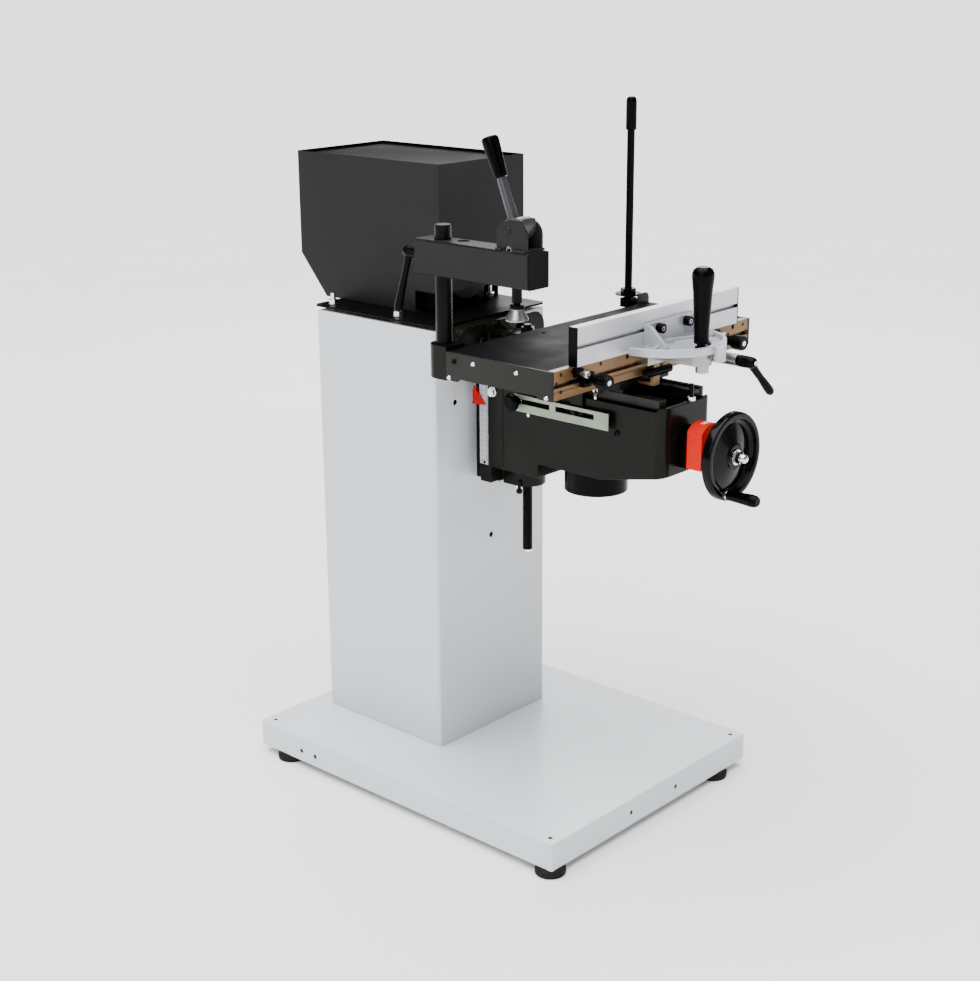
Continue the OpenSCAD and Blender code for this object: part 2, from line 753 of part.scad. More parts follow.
module cross_ways() {
    color(steel) for (s = [-1, 1]) translate([mid_x + s * strip_gap / 2, 0, wall_h]) {
        block([-strip_w / 2, knee_front_y + knee_t + 8, 0], [strip_w / 2, web_y + inner_web_t, strip_h]);
    }
}

module height_scale() {
    color("silver") block([knee_x0 - scale_t, dove_front, knee_low + 36], [knee_x0, knee_back - 0.7, wall_h]);
}

module chip_spigot() {
    r = spigot_d / 2;
    neck = r - spigot_neck - 0.2;
    seat = floor_z[1] + knee_t;
    low = floor_z[1] - spigot_l;
    flange = min(r - 0.5, knee_w / 2 - knee_t - 1);
    color(black) translate([mid_x, -spigot_y, 0]) rotate_extrude() polygon([
        [r, low], [r, floor_z[1]], [neck, floor_z[1]], [neck, seat], [flange, seat], [flange, seat + 3],
        [neck - spigot_t, seat + 3], [neck - spigot_t, floor_z[1] - 5], [r - spigot_t, floor_z[1] - 11],
        [r - spigot_t, low]
    ]);
}

// Bush with a flange at its start, along -Y
module shaft_bush(y) {
    turned_front([mid_x, y, shaft_z]) polygon([
        [shaft_d / 2 + run_gap, 0], [shaft_bush_d / 2 + 4, 0], [shaft_bush_d / 2 + 4, 3], [shaft_bush_d / 2, 3],
        [shaft_bush_d / 2, knee_t + 3], [shaft_d / 2 + run_gap, knee_t + 3]
    ]);
}

module lift_bearings() {
    color("goldenrod") {
        shaft_bush(knee_front_y + knee_t + 3);
        shaft_bush(web_y + inner_web_t + 3);
        translate([mid_x, -screw_y, 0]) rotate_extrude() polygon([
            [nut_d / 2 + run_gap, boss_low + 11], [bush_d / 2, boss_low + 11], [bush_d / 2, boss_top],
            [bush_d / 2 + 7, boss_top], [bush_d / 2 + 7, bush_top], [nut_d / 2 + run_gap, bush_top]
        ]);
    }
}

module knee_bolts() {
    color(steel) {
        translate([knee_x0, rear_block_y - 6, wall_h - 26]) rotate([0, -90, 0]) {
            cylinder(d = 20, h = 2);
            hex(16, 8);
            cylinder(d = 12, h = 10);
        }
        for (z = [knee_low + 22, knee_low + 90, wall_h - 26]) translate([knee_x1, rear_block_y + 16, z]) rotate([0, 90, 0]) {
            hex(13, 5);
            cylinder(d = 8, h = 14);
        }
        translate([mid_x + 16, knee_front_y + knee_t / 2, wall_h + 7]) {
            hex(13, 7);
            cylinder(d = 8, h = 31);
        }
        translate([knee_x0, web_y - 3, shaft_z + 18]) rotate([0, -90, 0]) cylinder(d = 7, h = 3);
        for (x = [-1, 1]) translate([mid_x + x * (bush_d / 2 + 7), -screw_y, boss_low - 5]) hex(10, 5);
        difference() {
            bar_x(18, [knee_x0 - 9.4, stop_y, stop_z + slot_w / 2], 9.4);
            bar_x(8.4, [knee_x0 - 10, stop_y, stop_z + slot_w / 2], 11);
        }
    }
}

module indicator_flange() {
    color(black) difference() {
        along_y(dial_y, knee_front_y) translate([mid_x, 0]) dial_outline(dial_top - 12);
        bar_y(shaft_d + 2, [mid_x, dial_y - over, shaft_z], knee_front_y - dial_y + 2 * over);
    }
}

// Outline of the dial in X and Z: square below, arched at its top
module dial_outline(top) {
    side = dial_w / 2;
    arch = 0.66 * dial_w;
    drop = arch - sqrt(arch * arch - side * side);
    translate([-side, dial_low]) square([dial_w, top - drop - dial_low]);
    intersection() {
        translate([-side, top - drop - over]) square([dial_w, drop + over]);
        translate([0, top - arch]) circle(arch);
    }
}

module indicator_housing() {
    color("orangered") difference() {
        along_y(dial_front, dial_y) translate([mid_x, 0]) dial_outline(dial_top);
        bar_y(shaft_d + 1, [mid_x, dial_front - over, shaft_z], dial_y - dial_front + 2 * over);
        translate([mid_x, (dial_front + dial_y) / 2 - 1, dial_top]) cube([22, 12, 3], center = true);
    }
}

module joystick_anchor() {
    foot_z = floor_z[0] + 7;
    low = ball_z - ball_d / 2 - 1;
    top = ball_z + 12;
    color(iron) difference() {
        union() {
            along_y(joint_y - 10, joint_y + 10) polygon([
                [knee_x1, foot_z + 50], [knee_x1 + 8, foot_z + 50], [knee_x1 + 8, foot_z - 3], [knee_x1 + 32, low + 10],
                [joint_x, low + 10], [joint_x, low], [knee_x1 + 28, low], [knee_x1, foot_z - 6]
            ]);
            bar_z(ball_d + 16, [joint_x, joint_y, low - 4], top - low + 4);
        }
        bar_z(ball_d + 5, [joint_x, joint_y, low], top - low + over);
    }
}

// Bevel gear about +Z with its cone's point at the top; bore radius and backing length below
module bevel_gear(bore_r, hub_r, backing) {
    c = sqrt(0.5);
    near = cone_l - bevel_face;
    outer_r = bevel_r - tooth_ded * c;
    inner_r = near * c - tooth_ded * c;
    low = -bevel_r - tooth_ded * c;
    rotate_extrude() polygon([
        [bore_r, -near * c - tooth_ded * c], [inner_r, -near * c - tooth_ded * c], [outer_r, low],
        [outer_r - 2, low - 2], [hub_r, low - 5], [hub_r, -backing], [bore_r, -backing]
    ]);
    for (i = [0:bevel_n - 1]) rotate([0, 0, i * 360 / bevel_n]) rotate([0, 135, 0]) translate([0, 0, near])
        linear_extrude(bevel_face) polygon([
            [tooth_ded + 0.6, -2], [0, -1.4], [-tooth_add, -0.8], [-tooth_add, 0.8], [0, 1.4], [tooth_ded + 0.6, 2]
        ]);
}

module lift_nut_gear() {
    r = nut_d / 2;
    bore = screw_d / 2 + 2 * run_gap;
    top = bush_top + 10;
    color("goldenrod") translate([mid_x, -screw_y, 0]) {
        translate([0, 0, shaft_z]) rotate([0, 0, 90]) bevel_gear(bore, r, shaft_z - top + over);
        rotate_extrude() polygon([
            [bore, boss_low + 2], [r + 3, boss_low + 2], [r + 3, boss_low + 10], [r, boss_low + 10],
            [r, bush_top + 0.1], [r + 8, bush_top + 0.1], [r + 8, top], [bore, top]
        ]);
    }
}

module bevel_pinion() {
    color(steel) translate([mid_x, -screw_y, shaft_z]) rotate([-90, 0, 0]) rotate([0, 0, 90 + 180 / bevel_n])
        bevel_gear(shaft_d / 2 + 0.02, shaft_d / 2 + 9, -web_y - inner_web_t - 3 - screw_y - sheet_gap);
}

module drive_shaft() {
    color(steel) {
        bar_y(shaft_d, [mid_x, wheel_y, shaft_z], -screw_y - screw_d / 2 - 4 - wheel_y);
        bar_y(shaft_thread_d, [mid_x, wheel_y - 17, shaft_z], 17 + over);
    }
}

module handwheel() {
    r = wheel_d / 2;
    hub = wheel_hub_y - wheel_y;
    color(black) difference() {
        union() {
            turned_front([mid_x, wheel_y, shaft_z]) polygon([
                [shaft_d / 2 + 0.05, 0], [22, 0], [25, -3], [r - rim_w - 6, web_t - rim_depth + 2], [r - rim_w, 2 - rim_depth / 2],
                [r - rim_w + 2, -1], [r - rim_w + 5, 0], [r - 5, 0], [r - 1.5, -2], [r, -6], [r, 5 - rim_depth],
                [r - 4, -rim_depth], [r - rim_w, -rim_depth], [r - rim_w - 4, -rim_depth + 1],
                [24, -3 - web_t], [20, -hub + 3], [18, -hub], [shaft_d / 2 + 0.05, -hub]
            ]);
            bar_y(18, [crank_x, wheel_y, crank_z], rim_depth);
        }
        bar_y(crank_stud_d + 0.04, [crank_x, wheel_y - over, crank_z], rim_depth + 2 * over);
    }
}

module hub_nut() {
    color("gainsboro") {
        turned_front([mid_x, wheel_y, shaft_z]) polygon([
            [shaft_thread_d / 2 + 0.05, 0], [14, 0], [14, 3], [shaft_thread_d / 2 + 0.05, 3]
        ]);
        difference() {
            translate([mid_x, wheel_y - 3, shaft_z]) rotate([90, 0, 0]) {
                hex(19, 10);
                translate([0, 0, 9]) rotate_extrude() polygon([[0, 0], [9.3, 0], [9.3, 2], [8, 8], [4, 12], [0, 13]]);
            }
            bar_y(shaft_thread_d + 0.1, [mid_x, wheel_y - 17.5, shaft_z], 17.5);
        }
        turned_front([crank_x, wheel_y, crank_z]) polygon([
            [0, -rim_depth - 5], [6.5, -rim_depth - 5], [6.5, -rim_depth], [crank_stud_d / 2, -rim_depth],
            [crank_stud_d / 2, 0], [8, 0], [8, 3.5], [crank_stud_d / 2, 4], [crank_stud_d / 2, crank_l - 8], [0, crank_l - 8]
        ]);
    }
}

module crank_grip() {
    bore = crank_stud_d / 2 + run_gap;
    r = crank_d / 2;
    color(black) turned_front([crank_x, wheel_y - 4.3, crank_z]) polygon([
        [bore, 0], [0.78 * r, 0], [0.8 * r, 3], [0.86 * r, 0.4 * crank_l], [r, 0.8 * crank_l], [0.92 * r, crank_l - 5],
        [0.7 * r, crank_l], [0, crank_l], [0, crank_l - 11], [bore, crank_l - 11]
    ]);
}

module stop_plate() {
    far = stop_y - 218;
    slots = [[stop_y - 80, stop_y + 15], [stop_y - 185, stop_y - 94]];
    color("#b5bfae") along_x(knee_x0 - 12.5, knee_x0 - 9.5) difference() {
        translate([far, stop_z - 15]) square([stop_y + 17 - far, 32]);
        for (s = slots) translate([s[0], stop_z]) square([s[1] - s[0], slot_w]);
    }
}

module stop_plate_knob() {
    z = stop_z + slot_w / 2;
    face = knee_x0 - 12.5;
    color(black) {
        turned_right([face - 24.1, stop_y, z]) polygon([
            [0, 0], [10, 0], [15, 2], [17.5, 6], [17.5, 11], [12, 15], [9, 24], [0, 24]
        ]);
        bar_x(8, [face - over, stop_y, z], knee_t + 12.5);
    }
}

module wing_screw() {
    x = mid_x - carriage_w / 2 + 2;
    top = strip_z + 9;
    color("gainsboro") translate([x, wing_y, 0]) {
        bar_z(12, [0, 0, top - 10], 10);
        bar_z(6, [0, 0, top - over], 12);
        rotate([0, 0, 35]) for (s = [0, 1]) mirror([s, 0, 0]) translate([0, 2, 0]) rotate([90, 0, 0])
            linear_extrude(4) polygon([[3, top - 10], [9, top - 20], [13, top - 21], [13, top - 12], [8, top - 3], [3, top - 2]]);
    }
}

module cross_carriage() {
    x1 = carriage_x0 + carriage_w;
    y1 = carriage_y0 + carriage_d;
    shoe_z = strip_z + shoe_gap;
    color(iron) difference() {
        union() {
            slab(carriage_w, carriage_d, 8, mid_x, -carriage_y, deck_z, deck_z + deck_t);
            for (s = [-1, 1]) translate([mid_x + s * strip_gap / 2, 0, 0]) {
                block([-strip_w / 2, carriage_y0 + 4, shoe_z], [strip_w / 2, y1 - 4, deck_z + over]);
                guide = [s * (strip_w / 2 + shoe_gap), s * (strip_w / 2 + 7)];
                block([-max(guide), carriage_y0 + 4, wall_h + 3], [-min(guide), y1 - 4, deck_z + over]);
            }
            for (y = rod_ys) along_x(carriage_x0, x1) {
                translate([y, rod_z]) circle(rod_d / 2 + 7);
                translate([y - rod_d / 2 - 7, deck_z + over]) square([rod_d + 14, rod_z - deck_z - over]);
            }
            block([carriage_x0 - 8, wing_y - 10, deck_z], [carriage_x0 + 12, wing_y + 10, deck_z + deck_t]);
            block([knee_x0 - 6, pin_y - 14, stop_z - 1], [knee_x0 - 3, pin_y + 14, deck_z + over]);
            bar_x(8, [knee_x0 - 16, pin_y, stop_z + slot_w / 2], 12);
        }
        for (y = rod_ys) bar_x(rod_d + 2 * run_gap, [carriage_x0 - over, y, rod_z], carriage_w + 2 * over);
        slab(carriage_w - 2 * strip_w - 50, rod_gap - rod_d - 26, 10, mid_x, -carriage_y, deck_z - over, deck_z + deck_t + over);
        bar_z(6.2, [mid_x - carriage_w / 2 + 2, wing_y, deck_z - over], deck_t);
    }
}

module stop_tab() {
    y = rail_front - 2;
    color("goldenrod") {
        block([mid_x - 22, y - 8, side_z0 - 22], [mid_x - 4, carriage_y0, side_z0 - 16]);
        block([mid_x - 22, y - 8, side_z0 - 22], [mid_x - 4, y, side_z0 + 18]);
        bar_x(15, [mid_x - 47, y - 8.5, side_z0 + 4], 72);
    }
}

module table_top() {
    color("#3a383c") difference() {
        block([table_x0, rail_back, table_low], [table_x1, table_rear, table_z]);
        translate([mid_x - 65, table_rear - 32, table_low - over]) cylinder(d = 9, h = table_t + 2 * over);
        translate([mid_x + 65, table_rear - 32, table_low - over]) cylinder(d = 9, h = table_t + 2 * over);
    }
}

// Side plate outline in Y and Z, with a step cut from its lower rear corner
module side_outline() {
    foot = 5;
    polygon([
        [rail_front, side_z0], [rail_front + 29, side_z0], [rail_front + 34, side_z0 + foot],
        [table_rear - 31, side_z0 + foot], [table_rear - 26, side_z0], [side_rear, side_z0],
        [side_rear, table_z], [rail_front, table_z]
    ]);
}

module side_plates() {
    color(dark) for (x = [table_x0, table_x1 + plate_side_t]) difference() {
        along_x(x - plate_side_t, x) side_outline();
        for (at = plate_screws) bar_x(5.4, [x - plate_side_t - over, at[0], at[1]], plate_side_t + 2 * over);
    }
}

// Front rail outline in Y and Z, with its T-slot and a groove along its face
module rail_outline() {
    difference() {
        translate([rail_front, side_z0]) square([rail_t, side_h]);
        translate([rail_front - over, slot_z - rail_slot_w / 2]) square([slot_lip + over + 0.1, rail_slot_w]);
        translate([rail_front + slot_lip, slot_z - tslot_w / 2]) square([tslot_h, tslot_w]);
        translate([rail_front - over, side_z0 + 13]) square([1 + over, 1.5]);
    }
}

module front_rail() {
    color("peru") difference() {
        along_x(table_x0, table_x1) rail_outline();
        for (x = [table_x0 + 50, table_x0 + 200, table_x1 - 200, table_x1 - 50])
            bar_y(9, [x, rail_front - over, table_z - 8], 7);
    }
}

module table_rods() {
    color(steel) {
        for (y = rod_ys) bar_x(rod_d, [table_x0, y, rod_z], table_l);
        block([table_x0, table_rear - 14, side_z0 + 8], [table_x1, table_rear - 4, table_low]);
    }
}

module table_screws() {
    color("whitesmoke") {
        for (x = [table_x0 - plate_side_t, table_x1 + plate_side_t], at = plate_screws) {
            s = x < mid_x ? -1 : 1;
            translate([x, at[0], at[1]]) rotate([0, s * 90, 0]) {
                cylinder(d1 = 9, d2 = 5.5, h = 3);
                translate([0, 0, -plate_side_t]) cylinder(d = 5, h = plate_side_t + over);
            }
        }
    }
}

module post_block() {
    low = side_z0 - 2;
    top = table_z + 8;
    color(iron) difference() {
        union() {
            block([post_x - post_block_w / 2, table_rear, low], [post_x + post_block_w / 2, post_y, top]);
            bar_z(post_block_w, [post_x, post_y, low], top - low);
        }
        bar_z(post_d + 2 * run_gap, [post_x, post_y, side_z0], top - side_z0 + over);
        block([post_x - 1.5, post_y, low - over], [post_x + 1.5, post_y + post_block_w, top + over]);
    }
}

module lever_bracket() {
    x1 = table_x1 + 11;
    z0 = side_z0 + 6;
    color(iron) difference() {
        union() {
            along_y(table_rear, table_rear + 3) {
                translate([x1 - 36, z0]) square([36, table_z + 8 - z0]);
                translate([x1 - 36, z0]) square([24, table_z + 20 - z0]);
                translate([x1 - 12, table_z + 8]) circle(12);
            }
            along_x(x1 - 12, x1 - 2) {
                translate([table_rear, joint_z - 22]) square([joint_y - table_rear, 22]);
                translate([joint_y, joint_z - 3.5]) circle(9);
                translate([joint_y - 9, joint_z - 22]) square([18, 18.5]);
            }
        }
        bar_x(lever_pin_d + 2 * run_gap, [x1 - 13, joint_y, joint_z], 13);
    }
}

module lever_yoke() {
    half = lever_d / 2 + 6.2;
    color(black) difference() {
        union() {
            block([joint_x - half, joint_y - 10, joint_z - 9], [joint_x + half, joint_y + 10, joint_z + 9]);
            bar_x(lever_pin_d, [joint_x + half - over, joint_y, joint_z], 14);
        }
        block([joint_x - half + 3, joint_y - lever_neck_d / 2 - 0.5, joint_z - 10],
              [joint_x + half - 3, joint_y + lever_neck_d / 2 + 0.5, joint_z + 10]);
        bar_y(lever_pin_d + 2 * run_gap, [joint_x, joint_y - 11, joint_z], 22);
    }
}

module joystick_lever() {
    disc_z = joint_z + 15;
    neck = lever_neck_d / 2;
    r = lever_d / 2;
    top = joint_z + lever_up - 64;
    color(black) {
        translate([joint_x, joint_y, 0]) rotate_extrude() polygon([
            [0, ball_z], [4.5, ball_z], [4.5, ball_z + 26], [r, ball_z + 34], [r, joint_z - 18], [neck, joint_z - 15],
            [neck, disc_z], [26, disc_z], [26, disc_z + 3], [r, disc_z + 3], [r, top], [4, top], [4, top + 56], [0, top + 56]
        ]);
        translate([joint_x, joint_y, disc_z + 2]) hex(27, 11);
        translate([joint_x, joint_y, ball_z]) sphere(d = ball_d);
        bar_y(lever_pin_d, [joint_x, joint_y - 10, joint_z], 20);
    }
}

module joystick_grip() {
    r = grip_d / 2;
    low = joint_z + lever_up - 64;
    color(black) translate([joint_x, joint_y, low]) rotate_extrude() polygon([
        [4.05, 0], [r - 1.5, 0], [r, 1.5], [r, 54], [0.85 * r, 61], [0.5 * r, 64], [0, 64], [0, 57], [4.05, 57]
    ]);
}

module clamp_post() {
    top = table_z + post_h;
    color("dimgray") translate([post_x, post_y, 0]) rotate_extrude() polygon([
        [0, side_z0 + 0.3], [post_d / 2, side_z0 + 0.3], [post_d / 2, top - 1.5], [post_d / 2 - 1.5, top], [0, top]
    ]);
}

module clamp_arm() {
    x0 = post_x - arm_w / 2;
    x1 = post_x + arm_w / 2;
    color(dark) difference() {
        union() {
            difference() {
                along_y(arm_y0, arm_y1) translate([post_x, arm_z + arm_h / 2]) round_rect(arm_w, arm_h, arm_t + 1);
                along_y(arm_y0 - over, arm_y1 + over)
                    translate([post_x, arm_z + arm_h / 2]) square([arm_w - 2 * arm_t, arm_h - 2 * arm_t], center = true);
            }
            bar_z(post_d + 14, [post_x, post_y, arm_z + 1], arm_h - 2);
            bar_z(plunger_d + 12, [post_x, plunger_y, arm_z + 1], arm_h - 2);
            block([x0 + 1, post_y + post_d / 2 + 2, arm_z + 1], [x1 - 1, arm_y1, arm_top - 1]);
        }
        bar_z(post_d + 2 * run_gap, [post_x, post_y, arm_z - over], arm_h + 2 * over);
        bar_z(plunger_d + 2 * run_gap, [post_x, plunger_y, arm_z - over], arm_h + 2 * over);
        bar_y(12 + 2 * run_gap, [post_x, post_y, arm_z + arm_h / 2], 45 + over);
        bar_z(22, [post_x + 8, post_y - 42, arm_top - 2 * arm_t], 3 * arm_t);
    }
}

module arm_end_cap() {
    inner_w = arm_w - 2 * arm_t;
    inner_h = arm_h - 2 * arm_t;
    color(black) {
        along_y(arm_y0 - 3, arm_y0) translate([post_x, arm_z + arm_h / 2]) round_rect(arm_w, arm_h, arm_t + 1);
        block([post_x - inner_w / 2 + 0.1, arm_y0 - over, arm_z + arm_t + 0.1],
              [post_x + inner_w / 2 - 0.1, arm_y0 + 10, arm_z + arm_t + inner_h - 0.1]);
    }
}

module cam_bracket() {
    r = 24;
    face = cam_w / 2 + 0.3;
    y0 = pivot_y - 41;
    y1 = pivot_y + 26;
    top = pivot_z + 16;
    color(dark) {
        for (s = [0, 1]) translate([post_x, 0, 0]) mirror([s, 0, 0]) {
            along_x(face, face + bracket_t) difference() {
                union() {
                    translate([y0, arm_top]) square([y1 - y0, top - r - arm_top]);
                    translate([y0 + r, top - r - over]) square([y1 - y0 - 2 * r, r + over]);
                    for (y = [y0 + r, y1 - r]) translate([y, top - r]) circle(r);
                }
                translate([pivot_y, arm_top - over]) circle(9);
            }
            for (span = [[y0, pivot_y - 12], [pivot_y + 12, y1]])
                block([face + over, span[0], arm_top], [arm_w / 2, span[1], arm_top + 4]);
            translate([face + bracket_t / 2 + 1, pivot_y, arm_top]) cylinder(d1 = 7, d2 = 6, h = 4);
        }
        block([post_x - face - over, y0, arm_top], [post_x + face + over, pivot_y - 28, arm_top + 4]);
        bar_x(pivot_d, [post_x - face - bracket_t, pivot_y, pivot_z], 2 * (face + bracket_t));
        for (s = [-1, 1]) translate([post_x + s * (face + bracket_t), pivot_y, pivot_z])
            rotate([0, s * 90, 0]) cylinder(d1 = 13, d2 = 10, h = 3);
    }
}

// Cam outline about its pivot: its reach grows evenly as it turns, so a flat plunger moves evenly
function cam_reach(a) = cam_base - sheet_gap + cam_rise * a;
function cam_point(a) = let (k = cam_rise * 180 / PI)
    [-cam_reach(a) * sin(a) - k * cos(a), -cam_reach(a) * cos(a) + k * sin(a)];

module cam_lever() {
    rod = 19;
    grip0 = cam_lever_l - 70;
    lobe = 115;
    fall = 0.25;
    color("silver") difference() {
        union() {
            translate([0, pivot_y, pivot_z]) along_x(post_x - cam_w / 2, post_x + cam_w / 2) {
                circle(cam_base - 1);
                polygon([
                    [0, 0], [13, 0], for (a = [-25:5:lobe]) cam_point(a),
                    for (a = [lobe + 10:10:lobe + 50]) (cam_reach(lobe) - fall * (a - lobe)) * [-sin(a), -cos(a)]
                ]);
            }
            translate([post_x, pivot_y, pivot_z]) rotate([-cam_lean, 0, 0]) {
                translate([0, 0, 8]) cylinder(d1 = rod, d2 = rod - 3, h = grip0 - 8);
                bar_z(8, [0, 0, grip0 - over], 60);
            }
        }
        bar_x(pivot_d + 2 * run_gap, [post_x - cam_w, pivot_y, pivot_z], 2 * cam_w);
    }
}

module cam_grip() {
    r = cam_grip_d / 2;
    color(black) translate([post_x, pivot_y, pivot_z]) rotate([-cam_lean, 0, 0]) translate([0, 0, cam_lever_l - 70])
        rotate_extrude() polygon([
            [4.05, 0], [0.74 * r, 0], [0.78 * r, 2], [0.84 * r, 20], [0.97 * r, 50], [r, 62], [0.97 * r, 67],
            [0.86 * r, 69.5], [0.76 * r, 70], [0, 70], [0, 60], [4.05, 60]
        ]);
}

module plunger() {
    tip = foot_rest + 6;
    color(steel) translate([post_x, plunger_y, 0]) rotate_extrude() polygon([
        [0, tip], [6, tip], [6, tip + 24], [plunger_d / 2, tip + 26], [plunger_d / 2, arm_top + 13.5],
        [plunger_d / 2 - 0.5, arm_top + 14], [0, arm_top + 14]
    ]);
}

module pressure_foot() {
    color(steel) translate([post_x, plunger_y, foot_rest]) rotate_extrude() polygon([
        [0, 0], [19, 0], [20, 1], [20, 4], [11, 20], [12.5, 21], [12.5, 27], [11.5, 28], [6.05, 28], [6.05, 5.9], [0, 5.9]
    ]);
}

// Adjustable lever about +Z: stud and hub, and an arm that leans out and away by angles
module lock_lever(stud_l, hub_l, arm_l, lean) {
    bar_z(12, [0, 0, -stud_l], stud_l + over);
    rotate_extrude() polygon([[0, 0], [9, 0], [11, 3], [11, hub_l - 14], [9, hub_l - 3], [6, hub_l], [0, hub_l]]);
    translate([0, 0, hub_l - 13]) rotate([0, 90 - lean, 0]) {
        cylinder(d1 = 14, d2 = 10, h = arm_l);
        translate([0, 0, arm_l]) sphere(d = 13);
    }
}

module arm_lock_lever() {
    stud_l = arm_y1 - post_y - post_d / 2 - sheet_gap;
    color(black) translate([post_x, arm_y1 + 0.3, arm_z + arm_h / 2]) rotate([-90, 0, 0]) rotate([0, 0, 90])
        lock_lever(stud_l, 50, 112, 17);
}

// T-shaped foot that runs in the front rail's slot
module rail_foot(x0, x1) {
    head_y = rail_front + slot_lip + sheet_gap;
    neck = rail_slot_w - 2 * sheet_gap;
    head = tslot_w - 2 * sheet_gap;
    along_x(x0, x1) {
        translate([rail_front - 2, slot_z - neck / 2]) square([slot_lip + 3, neck]);
        translate([head_y, slot_z - head / 2]) square([tslot_h - 2 * sheet_gap, head]);
    }
}

module mitre_slide() {
    deck = table_z - 0.5;
    under = slot_z + 2;
    guide_y = rail_front - 16;
    tip_y = mitre_y - mitre_r + 34;
    color(iron) difference() {
        union() {
            rail_foot(mid_x - 48, mid_x + 102);
            block([mid_x - 48, guide_y, slot_z - 4.5], [mid_x + 102, rail_front - sheet_gap, deck]);
            block([mid_x - 22, tip_y, under], [mid_x + 22, guide_y + over, deck]);
            bar_z(44, [mid_x, tip_y, under], deck - under);
            bar_y(22, [lock_x, mitre_y - mitre_r + 4, slot_z], mitre_r - 4 - mitre_y + guide_y + over);
            bar_z(12, [mid_x, mitre_y, deck - over], 11);
            bar_z(24, [mid_x + 12, tip_y + 2, under - 17], 18);
        }
        bar_z(8.4, [mid_x, handle_y, under + 4], deck - under);
        bar_y(12.4, [lock_x, mitre_y - mitre_r, slot_z], 52);
    }
}

module half_disc(r) {
    intersection() {
        circle(r);
        translate([-r - over, -r - over]) square([2 * r + 2 * over, r + over]);
    }
}

// Curved slot in the half disc, ending in drilled holes a little wider than the slot
module mitre_slot() {
    half = 52;
    w = 9;
    intersection() {
        difference() {
            circle(mitre_slot_r + w / 2);
            circle(mitre_slot_r - w / 2);
        }
        polygon([[0, 0], [-2 * mitre_r * sin(half), -2 * mitre_r * cos(half)], [2 * mitre_r * sin(half), -2 * mitre_r * cos(half)]]);
    }
    for (s = [-1, 1]) rotate([0, 0, s * half]) translate([0, -mitre_slot_r]) circle(d = w + 0.6);
}

module mitre_head() {
    web = 5;
    rim = 7;
    rib_l = 41;
    plate_x = [mid_x - 53, mid_x + 92];
    color("#8d9094") difference() {
        union() {
            translate([mid_x, mitre_y, mitre_z]) {
                linear_extrude(web) half_disc(mitre_r);
                linear_extrude(mitre_t) difference() {
                    half_disc(mitre_r);
                    half_disc(mitre_r - rim);
                }
                for (a = [-68, 68]) rotate([0, 0, a]) block([-2.5, -mitre_r + rim / 2, 0], [2.5, 0, mitre_t - 3]);
                intersection() {
                    cylinder(r = 15, h = mitre_t - 2);
                    block([-20, -20, 0], [20, 0, mitre_t]);
                }
                translate([7, -mitre_r - 4, -14]) cylinder(r = 11, h = mitre_t + 13);
            }
            block([plate_x[0], mitre_y - over, mitre_z], [plate_x[1], fence_y0, mitre_z + 46]);
            for (x = [plate_x[0], plate_x[1] - 7]) along_x(x, x + 7) polygon([
                [mitre_y, mitre_z], [mitre_y, mitre_z + 42], [mitre_y - 6, mitre_z + 42], [mitre_y - rib_l, mitre_z + 10],
                [mitre_y - rib_l, mitre_z]
            ]);
        }
        translate([mid_x, mitre_y, mitre_z - over]) linear_extrude(web + 2 * over) mitre_slot();
        bar_z(12 + 2 * run_gap, [mid_x, mitre_y, mitre_z - over], 12);
    }
}

// Fence outline in Y and Z: two hollows, and a T-slot along its outer face
module fence_outline() {
    mid_z = mitre_z + fence_h / 2;
    difference() {
        translate([fence_y0, mitre_z]) square([fence_t, fence_h]);
        translate([fence_y0 - over, mid_z - 3.5]) square([3 + over + 0.1, 7]);
        translate([fence_y0 + 3, mid_z - 6.5]) square([5, 13]);
        for (z = [mitre_z + 4, mid_z + 10]) translate([fence_y0 + 3, z]) square([fence_t - 6, fence_h / 2 - 14]);
    }
}

module fence_profile() {
    color("silver") along_x(mid_x - fence_l / 2, mid_x + fence_l / 2) fence_outline();
}

module fence_caps() {
    color(black) {
        for (x = [mid_x - fence_l / 2 - 3, mid_x + fence_l / 2])
            block([x, fence_y0, mitre_z], [x + 3, fence_y1, mitre_z + fence_h]);
        for (x = [-24, 58]) bar_y(18, [mid_x + x, mitre_y - over - 12, mitre_z + 35], 12);
    }
}

module mitre_handle() {
    web_top = mitre_z + 5.1;
    top = table_z + 14 + handle_h;
    color(black) translate([mid_x, handle_y, 0]) rotate_extrude() polygon([
        [0, slot_z + 12], [4, slot_z + 12], [4, web_top], [11, web_top], [11, web_top + 3], [8, web_top + 4], [8, table_z + 14],
        [12, table_z + 14], [13.5, table_z + 16], [13, table_z + 30], [14.5, table_z + 60], [17.5, top - 40],
        [20, top - 18], [19.5, top - 10], [16.5, top - 4], [11, top], [0, top]
    ]);
}

module mitre_lock_lever() {
    color(black) translate([lock_x, mitre_y - mitre_r + 3.7, slot_z]) rotate([90, 0, 0]) rotate([0, 0, -47])
        lock_lever(45, 37, 88, 5);
}

// Stop in the front rail: block with a foot, clamp knob and knurled stop screw
module rail_stop(x) {
    block_y = rail_front - 12;
    color(black) {
        rail_foot(x - 33, x + 12);
        block([x - 35, block_y, side_z0 + 5], [x + 14, rail_front - sheet_gap, table_z - 3]);
        turned_front([x, block_y, slot_z]) polygon([
            [0, -over], [9, -over], [9, 17], [13, 18], [14, 20], [14, 39], [12, 42], [5, 42], [5, 41], [0, 41]
        ]);
    }
    color(steel) turned_front([x - 25, block_y, slot_z + 17]) polygon([
        [0, -over], [6, -over], [6, 22], [4, 23], [0, 23]
    ]);
}

module rail_stop_left() {
    rail_stop(mid_x - 205);
}

module rail_stop_right() {
    rail_stop(mid_x + 197);
}

